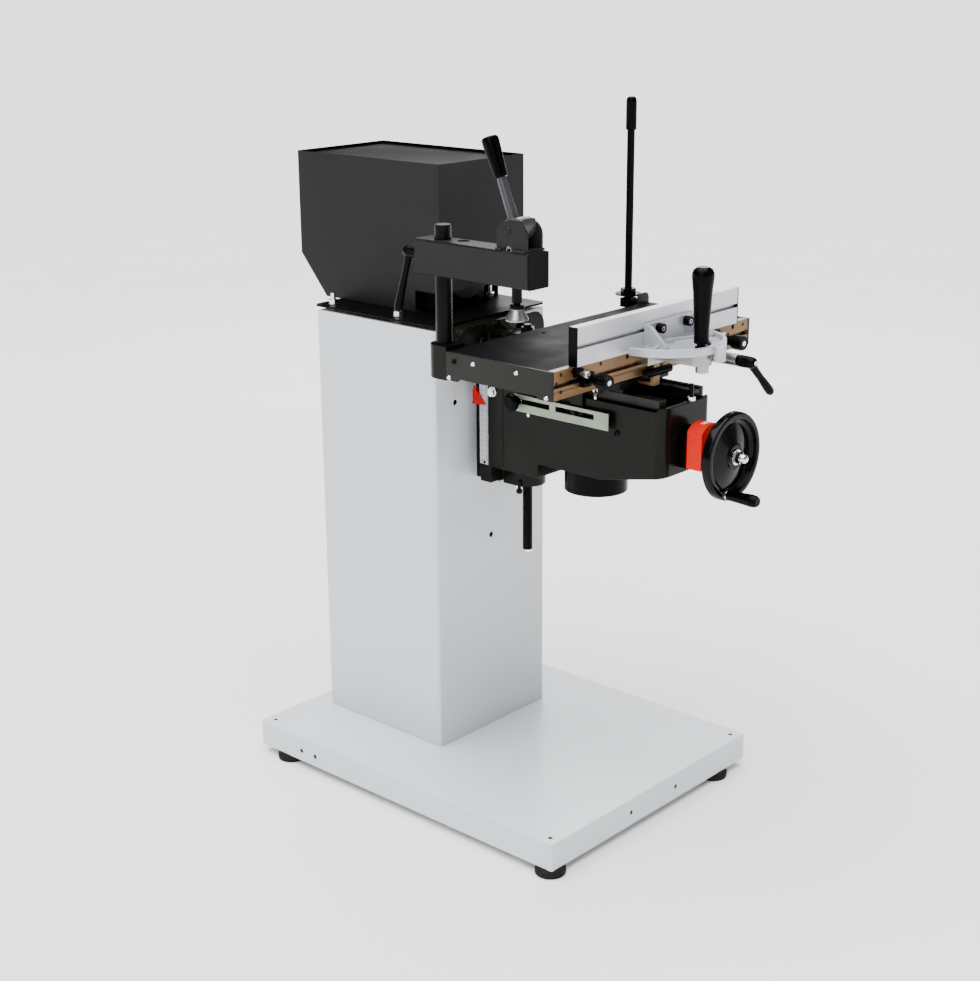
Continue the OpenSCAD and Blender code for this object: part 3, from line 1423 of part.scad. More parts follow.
base_tray();
levelling_feet();
column_shell();
motor_plate();
stand_bolts();
motor_hood();
motor_body();
way_casting();
scale_pointer();
lift_screw();
spindle_chuck();
knee_casting();
knee_gib();
knee_bolts();
height_scale();
chip_spigot();
lift_bearings();
indicator_flange();
indicator_housing();
cross_ways();
joystick_anchor();
lift_nut_gear();
handwheel();
hub_nut();
drive_shaft();
bevel_pinion();
crank_grip();
stop_plate();
stop_plate_knob();
wing_screw();
cross_carriage();
stop_tab();
table_top();
side_plates();
front_rail();
post_block();
table_rods();
table_screws();
lever_bracket();
lever_yoke();
joystick_lever();
joystick_grip();
clamp_post();
clamp_arm();
arm_end_cap();
cam_bracket();
arm_lock_lever();
cam_lever();
cam_grip();
plunger();
pressure_foot();
mitre_slide();
mitre_head();
fence_profile();
fence_caps();
mitre_handle();
mitre_lock_lever();
rail_stop_left();
rail_stop_right();
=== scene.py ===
# %% [markdown]
# A horizontal slot mortiser: a sheet column on a tray, a motor head under a hood, and a rising
# knee that carries a cross-slide table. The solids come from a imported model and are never
# moved. This lesson gives them their finishes, breaks their edges, and adds the small things
# that a lathe, a mill and a box of screws leave on such a machine.

# %% Load the frame
import json
import math

import bmesh
import bpy
import numpy as np
from mathutils import Matrix, Vector


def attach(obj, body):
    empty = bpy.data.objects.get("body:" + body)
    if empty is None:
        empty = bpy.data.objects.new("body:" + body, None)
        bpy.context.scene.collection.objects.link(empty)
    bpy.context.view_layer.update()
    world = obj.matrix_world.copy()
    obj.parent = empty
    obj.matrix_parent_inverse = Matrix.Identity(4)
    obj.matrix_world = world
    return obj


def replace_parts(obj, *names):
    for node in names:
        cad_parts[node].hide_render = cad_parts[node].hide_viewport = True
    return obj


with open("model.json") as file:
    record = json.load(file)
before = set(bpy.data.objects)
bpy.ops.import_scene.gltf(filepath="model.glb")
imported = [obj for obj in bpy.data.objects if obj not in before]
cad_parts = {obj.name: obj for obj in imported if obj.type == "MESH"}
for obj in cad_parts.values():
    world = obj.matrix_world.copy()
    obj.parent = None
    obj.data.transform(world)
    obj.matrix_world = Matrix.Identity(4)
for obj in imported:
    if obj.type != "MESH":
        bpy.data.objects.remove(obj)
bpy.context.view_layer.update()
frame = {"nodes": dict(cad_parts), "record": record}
MM = 0.001
MID_X = 8.0
UP, FRONT, LEFT, RIGHT, BACK = (0, 0, 1), (0, -1, 0), (-1, 0, 0), (1, 0, 0), (0, 1, 0)
bodies = frame["record"]["behaviour"]["bodies"]
body_of = {node: body for body, nodes in bodies.items() for node in nodes}


def add_object(name, data):
    """A new object for a mesh, lamp or camera, linked into the scene."""
    thing = bpy.data.objects.new(name, data)
    bpy.context.scene.collection.objects.link(thing)
    return thing


# %% [markdown]
# The photograph looks down at the machine from its left front, from about 3.6 m away. The lens
# and the camera's place were worked out from the tray's and the column's edges, so each edge in
# the render falls where it does in the photograph.

# %% Camera
PHOTO = (980, 981)
FOCAL_PX = 1700.5
AZIMUTH, ELEVATION, ROLL = math.radians(-47.7), math.radians(17.6), math.radians(-0.4)
EYE = Vector((-2399.7, -2159.1, 1610.7)) * MM


def camera_axes(azimuth, elevation, roll):
    """The camera's right, up and back directions: back points from the object to the eye."""
    back = Vector((math.sin(azimuth) * math.cos(elevation), -math.cos(azimuth) * math.cos(elevation),
                   math.sin(elevation)))
    right = Vector((math.cos(azimuth), math.sin(azimuth), 0))
    up = back.cross(right)
    turned_right = math.cos(roll) * right + math.sin(roll) * up
    turned_up = math.cos(roll) * up - math.sin(roll) * right
    return turned_right, turned_up, back


lens = bpy.data.cameras.new("camera")
lens.sensor_fit = "HORIZONTAL"
lens.sensor_width = 36
lens.lens = FOCAL_PX / PHOTO[0] * lens.sensor_width
camera = add_object("camera", lens)
view_turn = Matrix(camera_axes(AZIMUTH, ELEVATION, ROLL)).transposed().to_4x4()
camera.matrix_world = Matrix.Translation(EYE) @ view_turn
bpy.context.scene.camera = camera
print("lens", round(lens.lens, 2), "mm")

# %% [markdown]
# The studio is a pale floor under a dim pale world, with three large soft lamps and one wide
# overhead sun, which whitens the floor and the tray as far as the eye goes. The dark castings
# are glossy, so they show mostly what they mirror: large lamps give them long gentle highlights
# where small lamps would give hard dots. Places are in metres.

# %% Studio
FLOOR_HALF, FLOOR_CUTS = 90.0, 3
WORLD_STRENGTH = 0.22
SUN_ENERGY, SUN_WIDTH, SUN_TILT = 7.4, 70, (-2, -9, 0)


def make_floor():
    """A square grid z = 0, wide enough that its edge is out of the photograph's view."""
    line = np.linspace(-FLOOR_HALF, FLOOR_HALF, FLOOR_CUTS)
    x, y = np.meshgrid(line, line)
    points = np.stack([x.ravel(), y.ravel(), np.zeros(x.size)], 1)
    number = np.arange(x.size).reshape(x.shape)
    faces = np.stack([number[:-1, :-1], number[:-1, 1:], number[1:, 1:], number[1:, :-1]], -1)
    mesh = bpy.data.meshes.new("floor")
    mesh.from_pydata(points.tolist(), [], faces.reshape(-1, 4).tolist())
    grid = add_object("floor", mesh)
    return grid


def soft_light(name, place, aim, size, watts):
    """A square lamp at place that faces the point aim."""
    lamp = bpy.data.lights.new(name, "AREA")
    lamp.shape, lamp.size, lamp.energy = "SQUARE", size, watts
    light = add_object(name, lamp)
    light.location = place
    light.rotation_euler = (Vector(aim) - Vector(place)).to_track_quat("-Z", "Y").to_euler()


floor = make_floor()
world = bpy.data.worlds.new("studio")
world.use_nodes = True
world.node_tree.nodes["Background"].inputs["Color"].default_value = (1.0, 1.0, 1.0, 1)
world.node_tree.nodes["Background"].inputs["Strength"].default_value = WORLD_STRENGTH
bpy.context.scene.world = world
soft_light("key", (-3.4, -1.2, 3.0), (0, 0, 0.7), 2.4, 45)
soft_light("front", (1.4, -4.4, 2.6), (0, -0.2, 0.8), 2.2, 12)
soft_light("rim", (3.2, 2.6, 2.6), (0, 0, 0.9), 2.0, 60)
sky = bpy.data.lights.new("sky", "SUN")
sky.energy, sky.angle = SUN_ENERGY, math.radians(SUN_WIDTH)
overhead = add_object("sky", sky)
overhead.rotation_euler = [math.radians(angle) for angle in SUN_TILT]
print("lamps:", len(bpy.data.lights))

# %% [markdown]
# A finish is a Principled shader with two noises: a coarse one varies the roughness and the
# tint, as handling and dust do, and a fine one gives the bump that its process leaves, such as
# the orange peel of powder coat or the grit of a sand casting. Both read Object coordinates, so
# the grain keeps its real size on every piece.

# %% Shader helpers
BUMP_STRENGTH, COAT_ROUGHNESS = 0.55, 0.12
PATCH_LOW, PATCH_HIGH = 0.25, 0.75
PATCH_DETAIL, GRAIN_DETAIL = 4, 2


def shader(name, color, rough, metallic=0.0):
    """A new material with its Principled node set; returns the material, its tree and the shader."""
    material = bpy.data.materials.new(name)
    material.use_nodes = True
    tree = material.node_tree
    principled = tree.nodes["Principled BSDF"]
    principled.inputs["Base Color"].default_value = (*color, 1)
    principled.inputs["Roughness"].default_value = rough
    principled.inputs["Metallic"].default_value = metallic
    return material, tree, principled


def object_noise(tree, scale, detail, stretch=(1, 1, 1)):
    """Noise of a given scale per metre on Object coordinates, drawn out along the axes."""
    place = tree.nodes.new("ShaderNodeTexCoord")
    mapping = tree.nodes.new("ShaderNodeMapping")
    mapping.inputs["Scale"].default_value = stretch
    noise = tree.nodes.new("ShaderNodeTexNoise")
    noise.inputs["Scale"].default_value = scale
    noise.inputs["Detail"].default_value = detail
    tree.links.new(place.outputs["Object"], mapping.inputs["Vector"])
    tree.links.new(mapping.outputs["Vector"], noise.inputs["Vector"])
    return noise.outputs["Fac"]


def remap(tree, value, out_low, out_high):
    """Carries the patches' noise to a new range, with soft ends so no line shows where it clamps."""
    node = tree.nodes.new("ShaderNodeMapRange")
    node.interpolation_type = "SMOOTHSTEP"
    node.inputs["From Min"].default_value = PATCH_LOW
    node.inputs["From Max"].default_value = PATCH_HIGH
    node.inputs["To Min"].default_value = out_low
    node.inputs["To Max"].default_value = out_high
    tree.links.new(value, node.inputs["Value"])
    return node.outputs["Result"]


def mix_color(tree, factor, first, second):
    """Blends two colours by a factor and returns the colour socket."""
    node = tree.nodes.new("ShaderNodeMix")
    node.data_type = "RGBA"
    node.inputs["A"].default_value = (*first, 1)
    node.inputs["B"].default_value = (*second, 1)
    tree.links.new(factor, node.inputs["Factor"])
    return node.outputs["Result"]


def bump(tree, principled, height, depth):
    """Bump of a given depth in metres from a height between 0 and 1."""
    node = tree.nodes.new("ShaderNodeBump")
    node.inputs["Distance"].default_value = depth
    node.inputs["Strength"].default_value = BUMP_STRENGTH
    tree.links.new(height, node.inputs["Height"])
    tree.links.new(node.outputs["Normal"], principled.inputs["Normal"])


def finish(name, color, rough, metallic=0.0, grain=500, grain_mm=0.01, spread=0.08, tint=0.2,
           patch=20, stretch=(1, 1, 1), coat=0.0, shine=0.5):
    """Paint, plastic or metal: patchy roughness and tint, and a fine grain as bump.

    Patches and grain are counted per metre. Spread is how far the roughness strays, tint how
    much darker the dull patches are, and shine the strength of the mirror highlight.
    """
    material, tree, principled = shader(name, color, rough, metallic)
    patches = object_noise(tree, patch, PATCH_DETAIL)
    dull = tuple(c * (1 - tint) for c in color)
    roughness = remap(tree, patches, rough - spread, rough + spread)
    tree.links.new(roughness, principled.inputs["Roughness"])
    base = mix_color(tree, remap(tree, patches, 0, 1), color, dull)
    tree.links.new(base, principled.inputs["Base Color"])
    bump(tree, principled, object_noise(tree, grain, GRAIN_DETAIL, stretch), grain_mm * MM)
    principled.inputs["Specular IOR Level"].default_value = shine
    principled.inputs["Coat Weight"].default_value = coat
    principled.inputs["Coat Roughness"].default_value = COAT_ROUGHNESS
    return material


# %% [markdown]
# The palette. Two paints cover the sheet work: a light glossy one on the column and the tray,
# and a warm dark satin one on the hood and the arm. The castings wear a green-black gloss
# enamel, the knobs are moulded plastic, and the rest is bare, plated or anodised metal. Each
# colour was judged against the picture, under these lamps. The blacks are darker than they
# look, because the bright floor is mirrored in them.

# %% Palette
TURNED, GROUND, DRAWN, UPRIGHT = (1, 1, 14), (8, 1, 8), (2, 24, 24), (24, 24, 2)
FINISHES = {
    "light enamel": dict(color=(0.66, 0.7, 0.735), rough=0.32, grain=700, grain_mm=0.02, spread=0.05,
                         tint=0.04, patch=3, coat=0.15),
    "rubber": dict(color=(0.01, 0.01, 0.01), rough=0.75, grain=1500, grain_mm=0.04, spread=0.1,
                   tint=0.25, patch=7, shine=0.15),
    "hood paint": dict(color=(0.014, 0.0136, 0.013), rough=0.48, grain=1100, grain_mm=0.03, spread=0.06,
                       tint=0.12, patch=4, shine=0.13),
    "casting enamel": dict(color=(0.0046, 0.0052, 0.0032), rough=0.26, grain=240, grain_mm=0.06,
                           spread=0.07, tint=0.25, patch=9, coat=0.02, shine=0.1),
    "black plate": dict(color=(0.0018, 0.0018, 0.0018), rough=0.4, grain=900, grain_mm=0.02, tint=0.3,
                        patch=8, shine=0.06),
    "plate grey": dict(color=(0.0175, 0.0182, 0.0155), rough=0.42, grain=800, grain_mm=0.02,
                       spread=0.07, tint=0.15, patch=8, shine=0.14),
    "table black": dict(color=(0.0045, 0.0042, 0.0056), rough=0.52, grain=300, grain_mm=0.02, tint=0.25,
                        patch=10, shine=0.04),
    "moulded black": dict(color=(0.0008, 0.0008, 0.0009), rough=0.25, grain=600, coat=0.012, shine=0.05),
    "gloss black": dict(color=(0.001, 0.001, 0.0012), rough=0.14, grain=300, spread=0.05, patch=12,
                        coat=0.07, shine=0.08),
    "bright steel": dict(color=(0.52, 0.52, 0.51), rough=0.26, metallic=1, tint=0.15, patch=30,
                         stretch=TURNED),
    "dark steel": dict(color=(0.004, 0.004, 0.004), rough=0.32, metallic=0.4, tint=0.25, patch=30,
                       stretch=TURNED, shine=0.1),
    # a near-black steel for the cross ways, much darker than the ground steel
    "dark way steel": dict(color=(0.022, 0.02, 0.018), rough=0.36, metallic=0.4, grain_mm=0.02,
                          tint=0.25, stretch=GROUND, shine=0.25),
    "ground steel": dict(color=(0.4, 0.41, 0.4), rough=0.34, metallic=1, grain_mm=0.02, stretch=GROUND),
    "chrome": dict(color=(0.8, 0.8, 0.8), rough=0.1, metallic=1, grain=200, grain_mm=0.005, spread=0.04,
                   tint=0.05),
    "zinc": dict(color=(0.3, 0.36, 0.27), rough=0.36, metallic=0.3, grain=700, grain_mm=0.02, tint=0.12,
                 patch=25),
    "aluminium": dict(color=(0.62, 0.63, 0.66), rough=0.38, metallic=0.6, grain=600, grain_mm=0.02,
                      spread=0.07, tint=0.1, patch=18, stretch=DRAWN),
    "silver paint": dict(color=(0.5, 0.51, 0.55), rough=0.36, metallic=0.45, grain=420, grain_mm=0.05,
                         spread=0.07, tint=0.12),
    "gold anodised": dict(color=(0.2, 0.112, 0.042), rough=0.32, metallic=0.6, grain=600, grain_mm=0.02,
                          spread=0.06, tint=0.3, patch=16, stretch=DRAWN),
    "orange plastic": dict(color=(0.7, 0.005, 0.0), rough=0.36, grain=900, spread=0.06, tint=0.08,
                           shine=0.1),
    "signal red": dict(color=(0.42, 0.001, 0.003), rough=0.36, grain=700, spread=0.06, tint=0.12,
                       patch=30, shine=0.12),
    "motor paint": dict(color=(0.012, 0.014, 0.019), rough=0.45, grain=300, grain_mm=0.06, patch=12,
                        shine=0.2),
    "scale strip": dict(color=(0.5, 0.52, 0.52), rough=0.32, metallic=0.5, spread=0.06, tint=0.08,
                        stretch=UPRIGHT),
    # painted shade: a much darker paint for the hood's recessed top, standing in for the shade below its rim
    "hood top painted shade": dict(color=(0.0015, 0.0015, 0.0016), rough=0.6, grain=1100, grain_mm=0.03,
                         spread=0.06, tint=0.12, patch=4, shine=0.03),
    "lever steel": dict(color=(0.07, 0.072, 0.08), rough=0.3, metallic=0.6, tint=0.25, patch=30,
                        stretch=TURNED),
    # printed ink for the ticks and figures, and painted shade for the dark discs that stand for holes
    "ink": dict(color=(0.004, 0.004, 0.004), rough=0.5, spread=0.05, tint=0.1, patch=40, shine=0.15),
    "numeral white": dict(color=(0.75, 0.75, 0.72), rough=0.5, spread=0.05, tint=0.1, patch=40),
}
palette = {name: finish(name.replace(" ", "_"), **values) for name, values in FINISHES.items()}
floor_paint = finish("studio_floor", (0.93, 0.93, 0.93), rough=0.8, grain=60, grain_mm=0.05, spread=0.03,
                     tint=0.02, patch=2, shine=0.1)
floor.data.materials.append(floor_paint)
print(len(palette), "finishes")

# %% [markdown]
# Real edges are never perfectly sharp: a sheet has a bend radius, a casting a fillet, a turned
# part a broken corner, and it is these small radii that catch the light. A CAD node's triangles
# are loose, so a copy is merged first, its flat triangles are dissolved into whole faces, and
# a Bevel modifier rounds every edge sharper than 35 degrees. The copy then stands for the node.

# %% Broken edges
MERGE_DISTANCE, FLAT_ANGLE = 0.004 * MM, 0.4
EDGE_ANGLE, EDGE_STEPS = 35, 2


def clean_copy(node):
    """A merged mesh copy of a CAD node, with coplanar triangles joined into faces."""
    source = frame["nodes"][node].data
    shape = bmesh.new()
    shape.from_mesh(source)
    bmesh.ops.remove_doubles(shape, verts=shape.verts, dist=MERGE_DISTANCE)
    bmesh.ops.dissolve_limit(shape, angle_limit=math.radians(FLAT_ANGLE),
                             verts=shape.verts, edges=shape.edges)
    for face in shape.faces:
        face.smooth = True
    mesh = bpy.data.meshes.new(node + "_dressed")
    shape.to_mesh(mesh)
    shape.free()
    return mesh


def add_bevel(piece, width):
    """Rounds the sharp edges of a piece to a width in millimetres, and evens its normals by face area."""
    bevel = piece.modifiers.new("edge", "BEVEL")
    bevel.width, bevel.segments = width * MM, EDGE_STEPS
    bevel.limit_method, bevel.angle_limit = "ANGLE", math.radians(EDGE_ANGLE)
    bevel.use_clamp_overlap = False
    bevel.miter_outer = "MITER_ARC"
    even = piece.modifiers.new("normals", "WEIGHTED_NORMAL")
    even.keep_sharp = True


def dress(node, material, width):
    """Stands a copy of the node in its place, with one finish and with broken edges."""
    mesh = clean_copy(node)
    mesh.materials.clear()
    mesh.materials.append(palette[material])
    piece = add_object(node + "_dressed", mesh)
    add_bevel(piece, width)
    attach(piece, body_of[node])
    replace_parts(piece, node)
    return piece


# %% [markdown]
# One table says what each node wears: its finish and the radius of its edges in millimetres.
# Folded sheet gets the largest radius, castings a generous one, and plates and screws little.

# %% Dress the nodes
WEAR = {
    "light enamel": {"base_tray": 1.5, "column_shell": 1.5},
    "rubber": {"levelling_feet": 1.0},
    "hood paint": {"motor_hood": 0.8, "clamp_arm": 0.8, "cam_bracket": 0.6},
    "casting enamel": {"way_casting": 1.0, "knee_casting": 1.2, "cross_carriage": 1.0, "post_block": 0.8,
                       "knee_gib": 0.3},
    "black plate": {"motor_plate": 0.8, "arm_end_cap": 0.6, "lever_yoke": 0.4},
    "plate grey": {"side_plates": 0.5, "lever_bracket": 0.5},
    "table black": {"table_top": 0.5},
    "moulded black": {"crank_grip": 0.5, "stop_plate_knob": 0.6, "joystick_grip": 0.6, "cam_grip": 0.6,
                      "mitre_handle": 0.5, "fence_caps": 0.4, "indicator_flange": 0.5, "pressure_foot": 0.5,
                      "joystick_anchor": 0.6, "joystick_lever": 0.4, "chip_spigot": 0.6},
    "dark steel": {"clamp_post": 0.6, "plunger": 0.5},
    "lever steel": {"cam_lever": 0.6},
    "gloss black": {"handwheel": 0.6},
    "bright steel": {"spindle_chuck": 0.4, "drive_shaft": 0.3, "table_rods": 0.5, "lift_bearings": 0.3},
    # the cross ways get the near-black way steel
    "dark way steel": {"cross_ways": 0.6},
    "ground steel": {"lift_nut_gear": 0.15, "bevel_pinion": 0.15, "mitre_slide": 0.4},
    "chrome": {"hub_nut": 0.3, "stand_bolts": 0.3, "knee_bolts": 0.3, "table_screws": 0.4, "wing_screw": 0.3},
    "zinc": {"stop_plate": 0.3},
    "aluminium": {"fence_profile": 0.3},
    "silver paint": {"mitre_head": 0.8},
    "gold anodised": {"front_rail": 0.5, "stop_tab": 0.4},
    "orange plastic": {"indicator_housing": 1.2},
    "signal red": {"scale_pointer": 0.3},
    "motor paint": {"motor_body": 0.8},
    "scale strip": {"height_scale": 0.2},
}
dressed = {node: dress(node, material, width)
           for material, nodes in WEAR.items() for node, width in nodes.items()}
print(len(dressed), "nodes dressed; still to make:", sorted(set(frame["nodes"]) - set(dressed)))

# %% [markdown]
# Some solids are one node in the model and two materials on the machine, such as a rubber foot
# on a steel stud. Their faces are sorted by where they lie: the middle of every face is read as
# one array, a rule says which belong to the second material, and the answer is written back.

# %% Two materials on one piece
def face_centres(mesh):
    """The middle of every face, in millimetres, as an array of x, y and z."""
    middles = np.empty(len(mesh.polygons) * 3)
    mesh.polygons.foreach_get("center", middles)
    return middles.reshape(-1, 3).T / MM


def second_finish(node, material, rule):
    """Gives the faces whose centres pass the rule a further finish, and returns their number."""
    mesh = dressed[node].data
    mesh.materials.append(palette[material])
    index = np.empty(len(mesh.polygons), np.int32)
    mesh.polygons.foreach_get("material_index", index)
    chosen = rule(*face_centres(mesh))
    index[chosen] = len(mesh.materials) - 1
    mesh.polygons.foreach_set("material_index", index)
    return int(chosen.sum())


def buffers(x, y, z):
    """The two rubber ends of the stop tab."""
    return (x < -14.5) | (x > -3.5)


def above_rubber(x, y, z):
    """The studs and nuts of the feet, which start where the rubber ends."""
    return z > 16.2


def front_stud(x, y, z):
    """The stud at the knee's front, within 9 mm of its own upright line."""
    return (np.hypot(x - 24, y + 442) < 9) & (z > 852)


def ground_cone(x, y, z):
    """The ground cone of the pressure foot, between its dark face and its stem."""
    return (z > 1010.5) & (z < 1031)


def recessed_top(x, y, z):
    """The hood's top, which lies a little below its rim; its much darker paint is painted shade."""
    return z > 1200


print("buffers:", second_finish("stop_tab", "moulded black", buffers))
print("studs and nuts of the feet:", second_finish("levelling_feet", "bright steel", above_rubber))
print("front stud:", second_finish("knee_bolts", "dark steel", front_stud))
print("ground cone:", second_finish("pressure_foot", "ground steel", ground_cone))
# the hood's top gets the much darker paint as painted shade
print("recessed top:", second_finish("motor_hood", "hood top painted shade", recessed_top))

# %% [markdown]
# Small parts are turned or pressed, and each can be told as rows of a profile: a distance along
# the axis, a radius, and how six-sided that row is. A round head with a hex socket is then one
# surface, which runs up the outside, over the rim and down into the recess.

# %% Turned and six-sided pieces
NEEDLE = 0.05
SHARP_ANGLE = 40


def rings_from(rows, around=36):
    """A ring for each row (z, r, h): radius r where h = 0, and r / cos(angle from the flat) where h = 1."""
    rows = np.asarray(rows, float)
    turn = np.linspace(0, 2 * np.pi, around, endpoint=False)
    from_flat = (turn + np.pi / 6) % (np.pi / 3) - np.pi / 6
    radius = rows[:, 1:2] * (1 - rows[:, 2:3] + rows[:, 2:3] / np.cos(from_flat))
    return np.stack([radius * np.cos(turn), radius * np.sin(turn), rows[:, :1] + 0 * radius], -1)


def placed(rings, origin, axis):
    """Turns rings made along Z so that they run along an axis from an origin."""
    turn = np.array(Vector(UP).rotation_difference(Vector(axis)).to_matrix())
    return rings @ turn.T + np.asarray(origin, float)


def ring_faces(count, around, first=0):
    """Quads between neighbouring rings, with one face over each end."""
    row, column = np.meshgrid(np.arange(count - 1), np.arange(around), indexing="ij")
    after = (column + 1) % around
    quads = np.stack([row * around + column, row * around + after, (row + 1) * around + after,
                      (row + 1) * around + column], -1).reshape(-1, 4) + first
    ends = [np.arange(around)[::-1] + first, np.arange(around) + (count - 1) * around + first]
    return quads.tolist() + [end.tolist() for end in ends]


def make_piece(name, bodies_of_rings, material, body):
    """One piece out of several closed ring bodies given in millimetres; it rides on a body."""
    points, faces, first = [], [], 0
    for rings in bodies_of_rings:
        count, around = rings.shape[:2]
        points.append(rings.reshape(-1, 3))
        faces += ring_faces(count, around, first)
        first += count * around
    mesh = bpy.data.meshes.new(name)
    mesh.from_pydata((np.concatenate(points) * MM).tolist(), [], faces)
    mesh.materials.append(palette[material])
    mesh.shade_smooth()
    mesh.set_sharp_from_angle(angle=math.radians(SHARP_ANGLE))
    piece = add_object(name, mesh)
    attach(piece, body)
    return piece


def socket_head(radius, height, key, depth):
    """A cylinder head with a broken rim and a hex recess of width key across its flats."""
    rim = min(0.6, radius * 0.12)
    return [(0, radius, 0), (height - rim, radius, 0), (height, radius - rim, 0),
            (height, key / 2 + 0.3, 0.2), (height - 0.3, key / 2, 1), (height - depth, key / 2, 1),
            (height - depth, NEEDLE, 0)]


def button_head(radius, height, key):
    """A low dome with a hex recess: the dome is part of an ellipse, r cos a wide and h sin a high."""
    last, floor_z = 1.15, height * 0.35
    arc = np.linspace(0, last, 7)
    dome = [(height * math.sin(a) / math.sin(last), radius * math.cos(a), 0) for a in arc]
    return dome + [(height, key / 2, 1), (floor_z, key / 2, 1), (floor_z, NEEDLE, 0)]


print("a ring has", rings_from(button_head(3, 1, 2)).shape[1], "points")

# %% [markdown]
# A screw thread is a helix: the radius at a height z and a turn angle t depends only on where
# z / pitch - t / 360 falls within one turn. A trapezium of that fraction gives the flat crest,
# the sloping flanks and the flat root that a lathe cuts.

# %% Lifting screw
SCREW_FOOT, SCREW_NOSE, SCREW_LEAD = 478.0, 897.0, 4.0
SCREW_AT = (MID_X, -68.0, 0.0)
CREST, THREAD_DEPTH = 9.98, 1.2
NECK = [(897, 8, 0), (915, 8, 0), (915, 12, 1), (927, 12, 1), (927, 8, 0), (931, 8, 0), (932, 7, 0)]
FOOT = [(471, 4, 0), (471.5, 5, 0), (475, 5, 0), (475, 9, 0), (478, 9, 0)]


def threaded(length, crest, depth, pitch, around=28, rows_per_turn=8, ends=1.0):
    """Rings of a threaded bar: r = crest - depth * ramp(frac(z / pitch - t)), with chamfered ends."""
    z = np.linspace(0, length, int(length / pitch * rows_per_turn))[:, None]
    turn = np.linspace(0, 1, around, endpoint=False)[None, :]
    phase = (z / pitch - turn) % 1.0
    ramp = np.clip(np.abs(phase - 0.5) * 4 - 0.5, 0, 1)
    radius = crest - depth * ramp
    taper = np.clip(np.minimum(z, length - z) / ends, 0, 1)
    radius = np.minimum(radius, crest - depth * (1 - taper))
    angle = 2 * np.pi * turn
    return np.stack([radius * np.cos(angle), radius * np.sin(angle), z + 0 * radius], -1)


bar = threaded(SCREW_NOSE - SCREW_FOOT, CREST, THREAD_DEPTH, SCREW_LEAD) + (0, 0, SCREW_FOOT)
screw = make_piece("lifting_screw", [bar + SCREW_AT, placed(rings_from(NECK), SCREW_AT, UP)], "dark steel",
                   body_of["lift_screw"])
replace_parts(screw, "lift_screw")
make_piece("screw_foot", [placed(rings_from(FOOT), SCREW_AT, UP)], "chrome", body_of["lift_screw"])
print("thread turns on the lifting screw:", round((SCREW_NOSE - SCREW_FOOT) / SCREW_LEAD))

# %% [markdown]
# Ticks, small blocks and plates are all boxes. Many boxes can be one mesh: two arrays hold their
# lowest and highest corners, and every corner of every box is picked from one or the other.

# %% Many boxes in one piece
CORNERS = np.array([[0, 0, 0], [1, 0, 0], [1, 1, 0], [0, 1, 0],
                    [0, 0, 1], [1, 0, 1], [1, 1, 1], [0, 1, 1]], bool)
SIDES = np.array([[0, 3, 2, 1], [4, 5, 6, 7], [0, 1, 5, 4], [1, 2, 6, 5], [2, 3, 7, 6], [3, 0, 4, 7]])


def boxes(name, low_corners, high_corners, material, body, edge=0.0):
    """One piece of boxes told by their lowest and highest corners in millimetres."""
    low, high = np.asarray(low_corners, float), np.asarray(high_corners, float)
    points = np.where(CORNERS[None], high[:, None], low[:, None]).reshape(-1, 3)
    faces = (np.arange(len(low))[:, None, None] * 8 + SIDES[None]).reshape(-1, 4)
    mesh = bpy.data.meshes.new(name)
    mesh.from_pydata((points * MM).tolist(), [], faces.tolist())
    mesh.materials.append(palette[material])
    piece = add_object(name, mesh)
    if edge:
        mesh.shade_smooth()
        add_bevel(piece, edge)
    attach(piece, body)
    return piece


print("corners and sides of a box:", len(CORNERS), len(SIDES))

# %% [markdown]
# Numbers are flat text curves with a little thickness, turned into one mesh. Their page is told
# by two directions, the one they are written along and the one their tops point to.

# %% Numbers
INK = 0.05


def lettering(name, rows, size, right, up, node):
    """Flat numbers in ink on a node: each row is (text, x, y, z), the middle of that text."""
    right, up = Vector(right), Vector(up)
    page = Matrix((right, up, right.cross(up))).transposed().to_4x4()
    whole = bmesh.new()
    for text, *place in rows:
        curve = bpy.data.curves.new(name, "FONT")
        curve.body, curve.size, curve.extrude = text, size * MM, INK * MM
        curve.align_x, curve.align_y = "CENTER", "CENTER"
        holder = bpy.data.objects.new(name, curve)
        mesh = bpy.data.meshes.new_from_object(holder)
        mesh.transform(Matrix.Translation(Vector(place) * MM) @ page)
        whole.from_mesh(mesh)
        bpy.data.objects.remove(holder)
    mesh = bpy.data.meshes.new(name)
    whole.to_mesh(mesh)
    whole.free()
    mesh.materials.append(palette["ink"])
    piece = add_object(name, mesh)
    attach(piece, body_of[node])
    print(name, "has", len(rows), "numbers")


# %% [markdown]
# The height scale is read against the red pointer. Each millimetre has a tick, each fifth a
# longer one and each tenth the longest, with its number of centimetres beside it. The ticks
# stand a twentieth of a millimetre proud, as printed ink does.

# %% Height scale
SCALE_X, SCALE_LOW, SCALE_STEPS = -66.0, 668.0, 161
TICK_START, TICK_HALF = -30.5, 0.14
NUMBER_Y, NUMBER_SIZE = -16.5, 6.5
step = np.arange(SCALE_STEPS)
tick = np.select([step % 10 == 0, step % 5 == 0], [9.0, 6.5], 4.0)
level = SCALE_LOW + step
same = np.ones(SCALE_STEPS)
boxes("scale_ticks", np.stack([same * (SCALE_X - INK), same * TICK_START, level - TICK_HALF], 1),
      np.stack([same * (SCALE_X + INK), TICK_START + tick, level + TICK_HALF], 1),
      "ink", body_of["height_scale"])
lettering("scale_numbers", [(str(n), SCALE_X - INK, NUMBER_Y, SCALE_LOW + 10 * n) for n in range(17)],
          NUMBER_SIZE, FRONT, UP, "height_scale")
scale_screw = rings_from(button_head(3.2, 1.4, 2.4), 24)
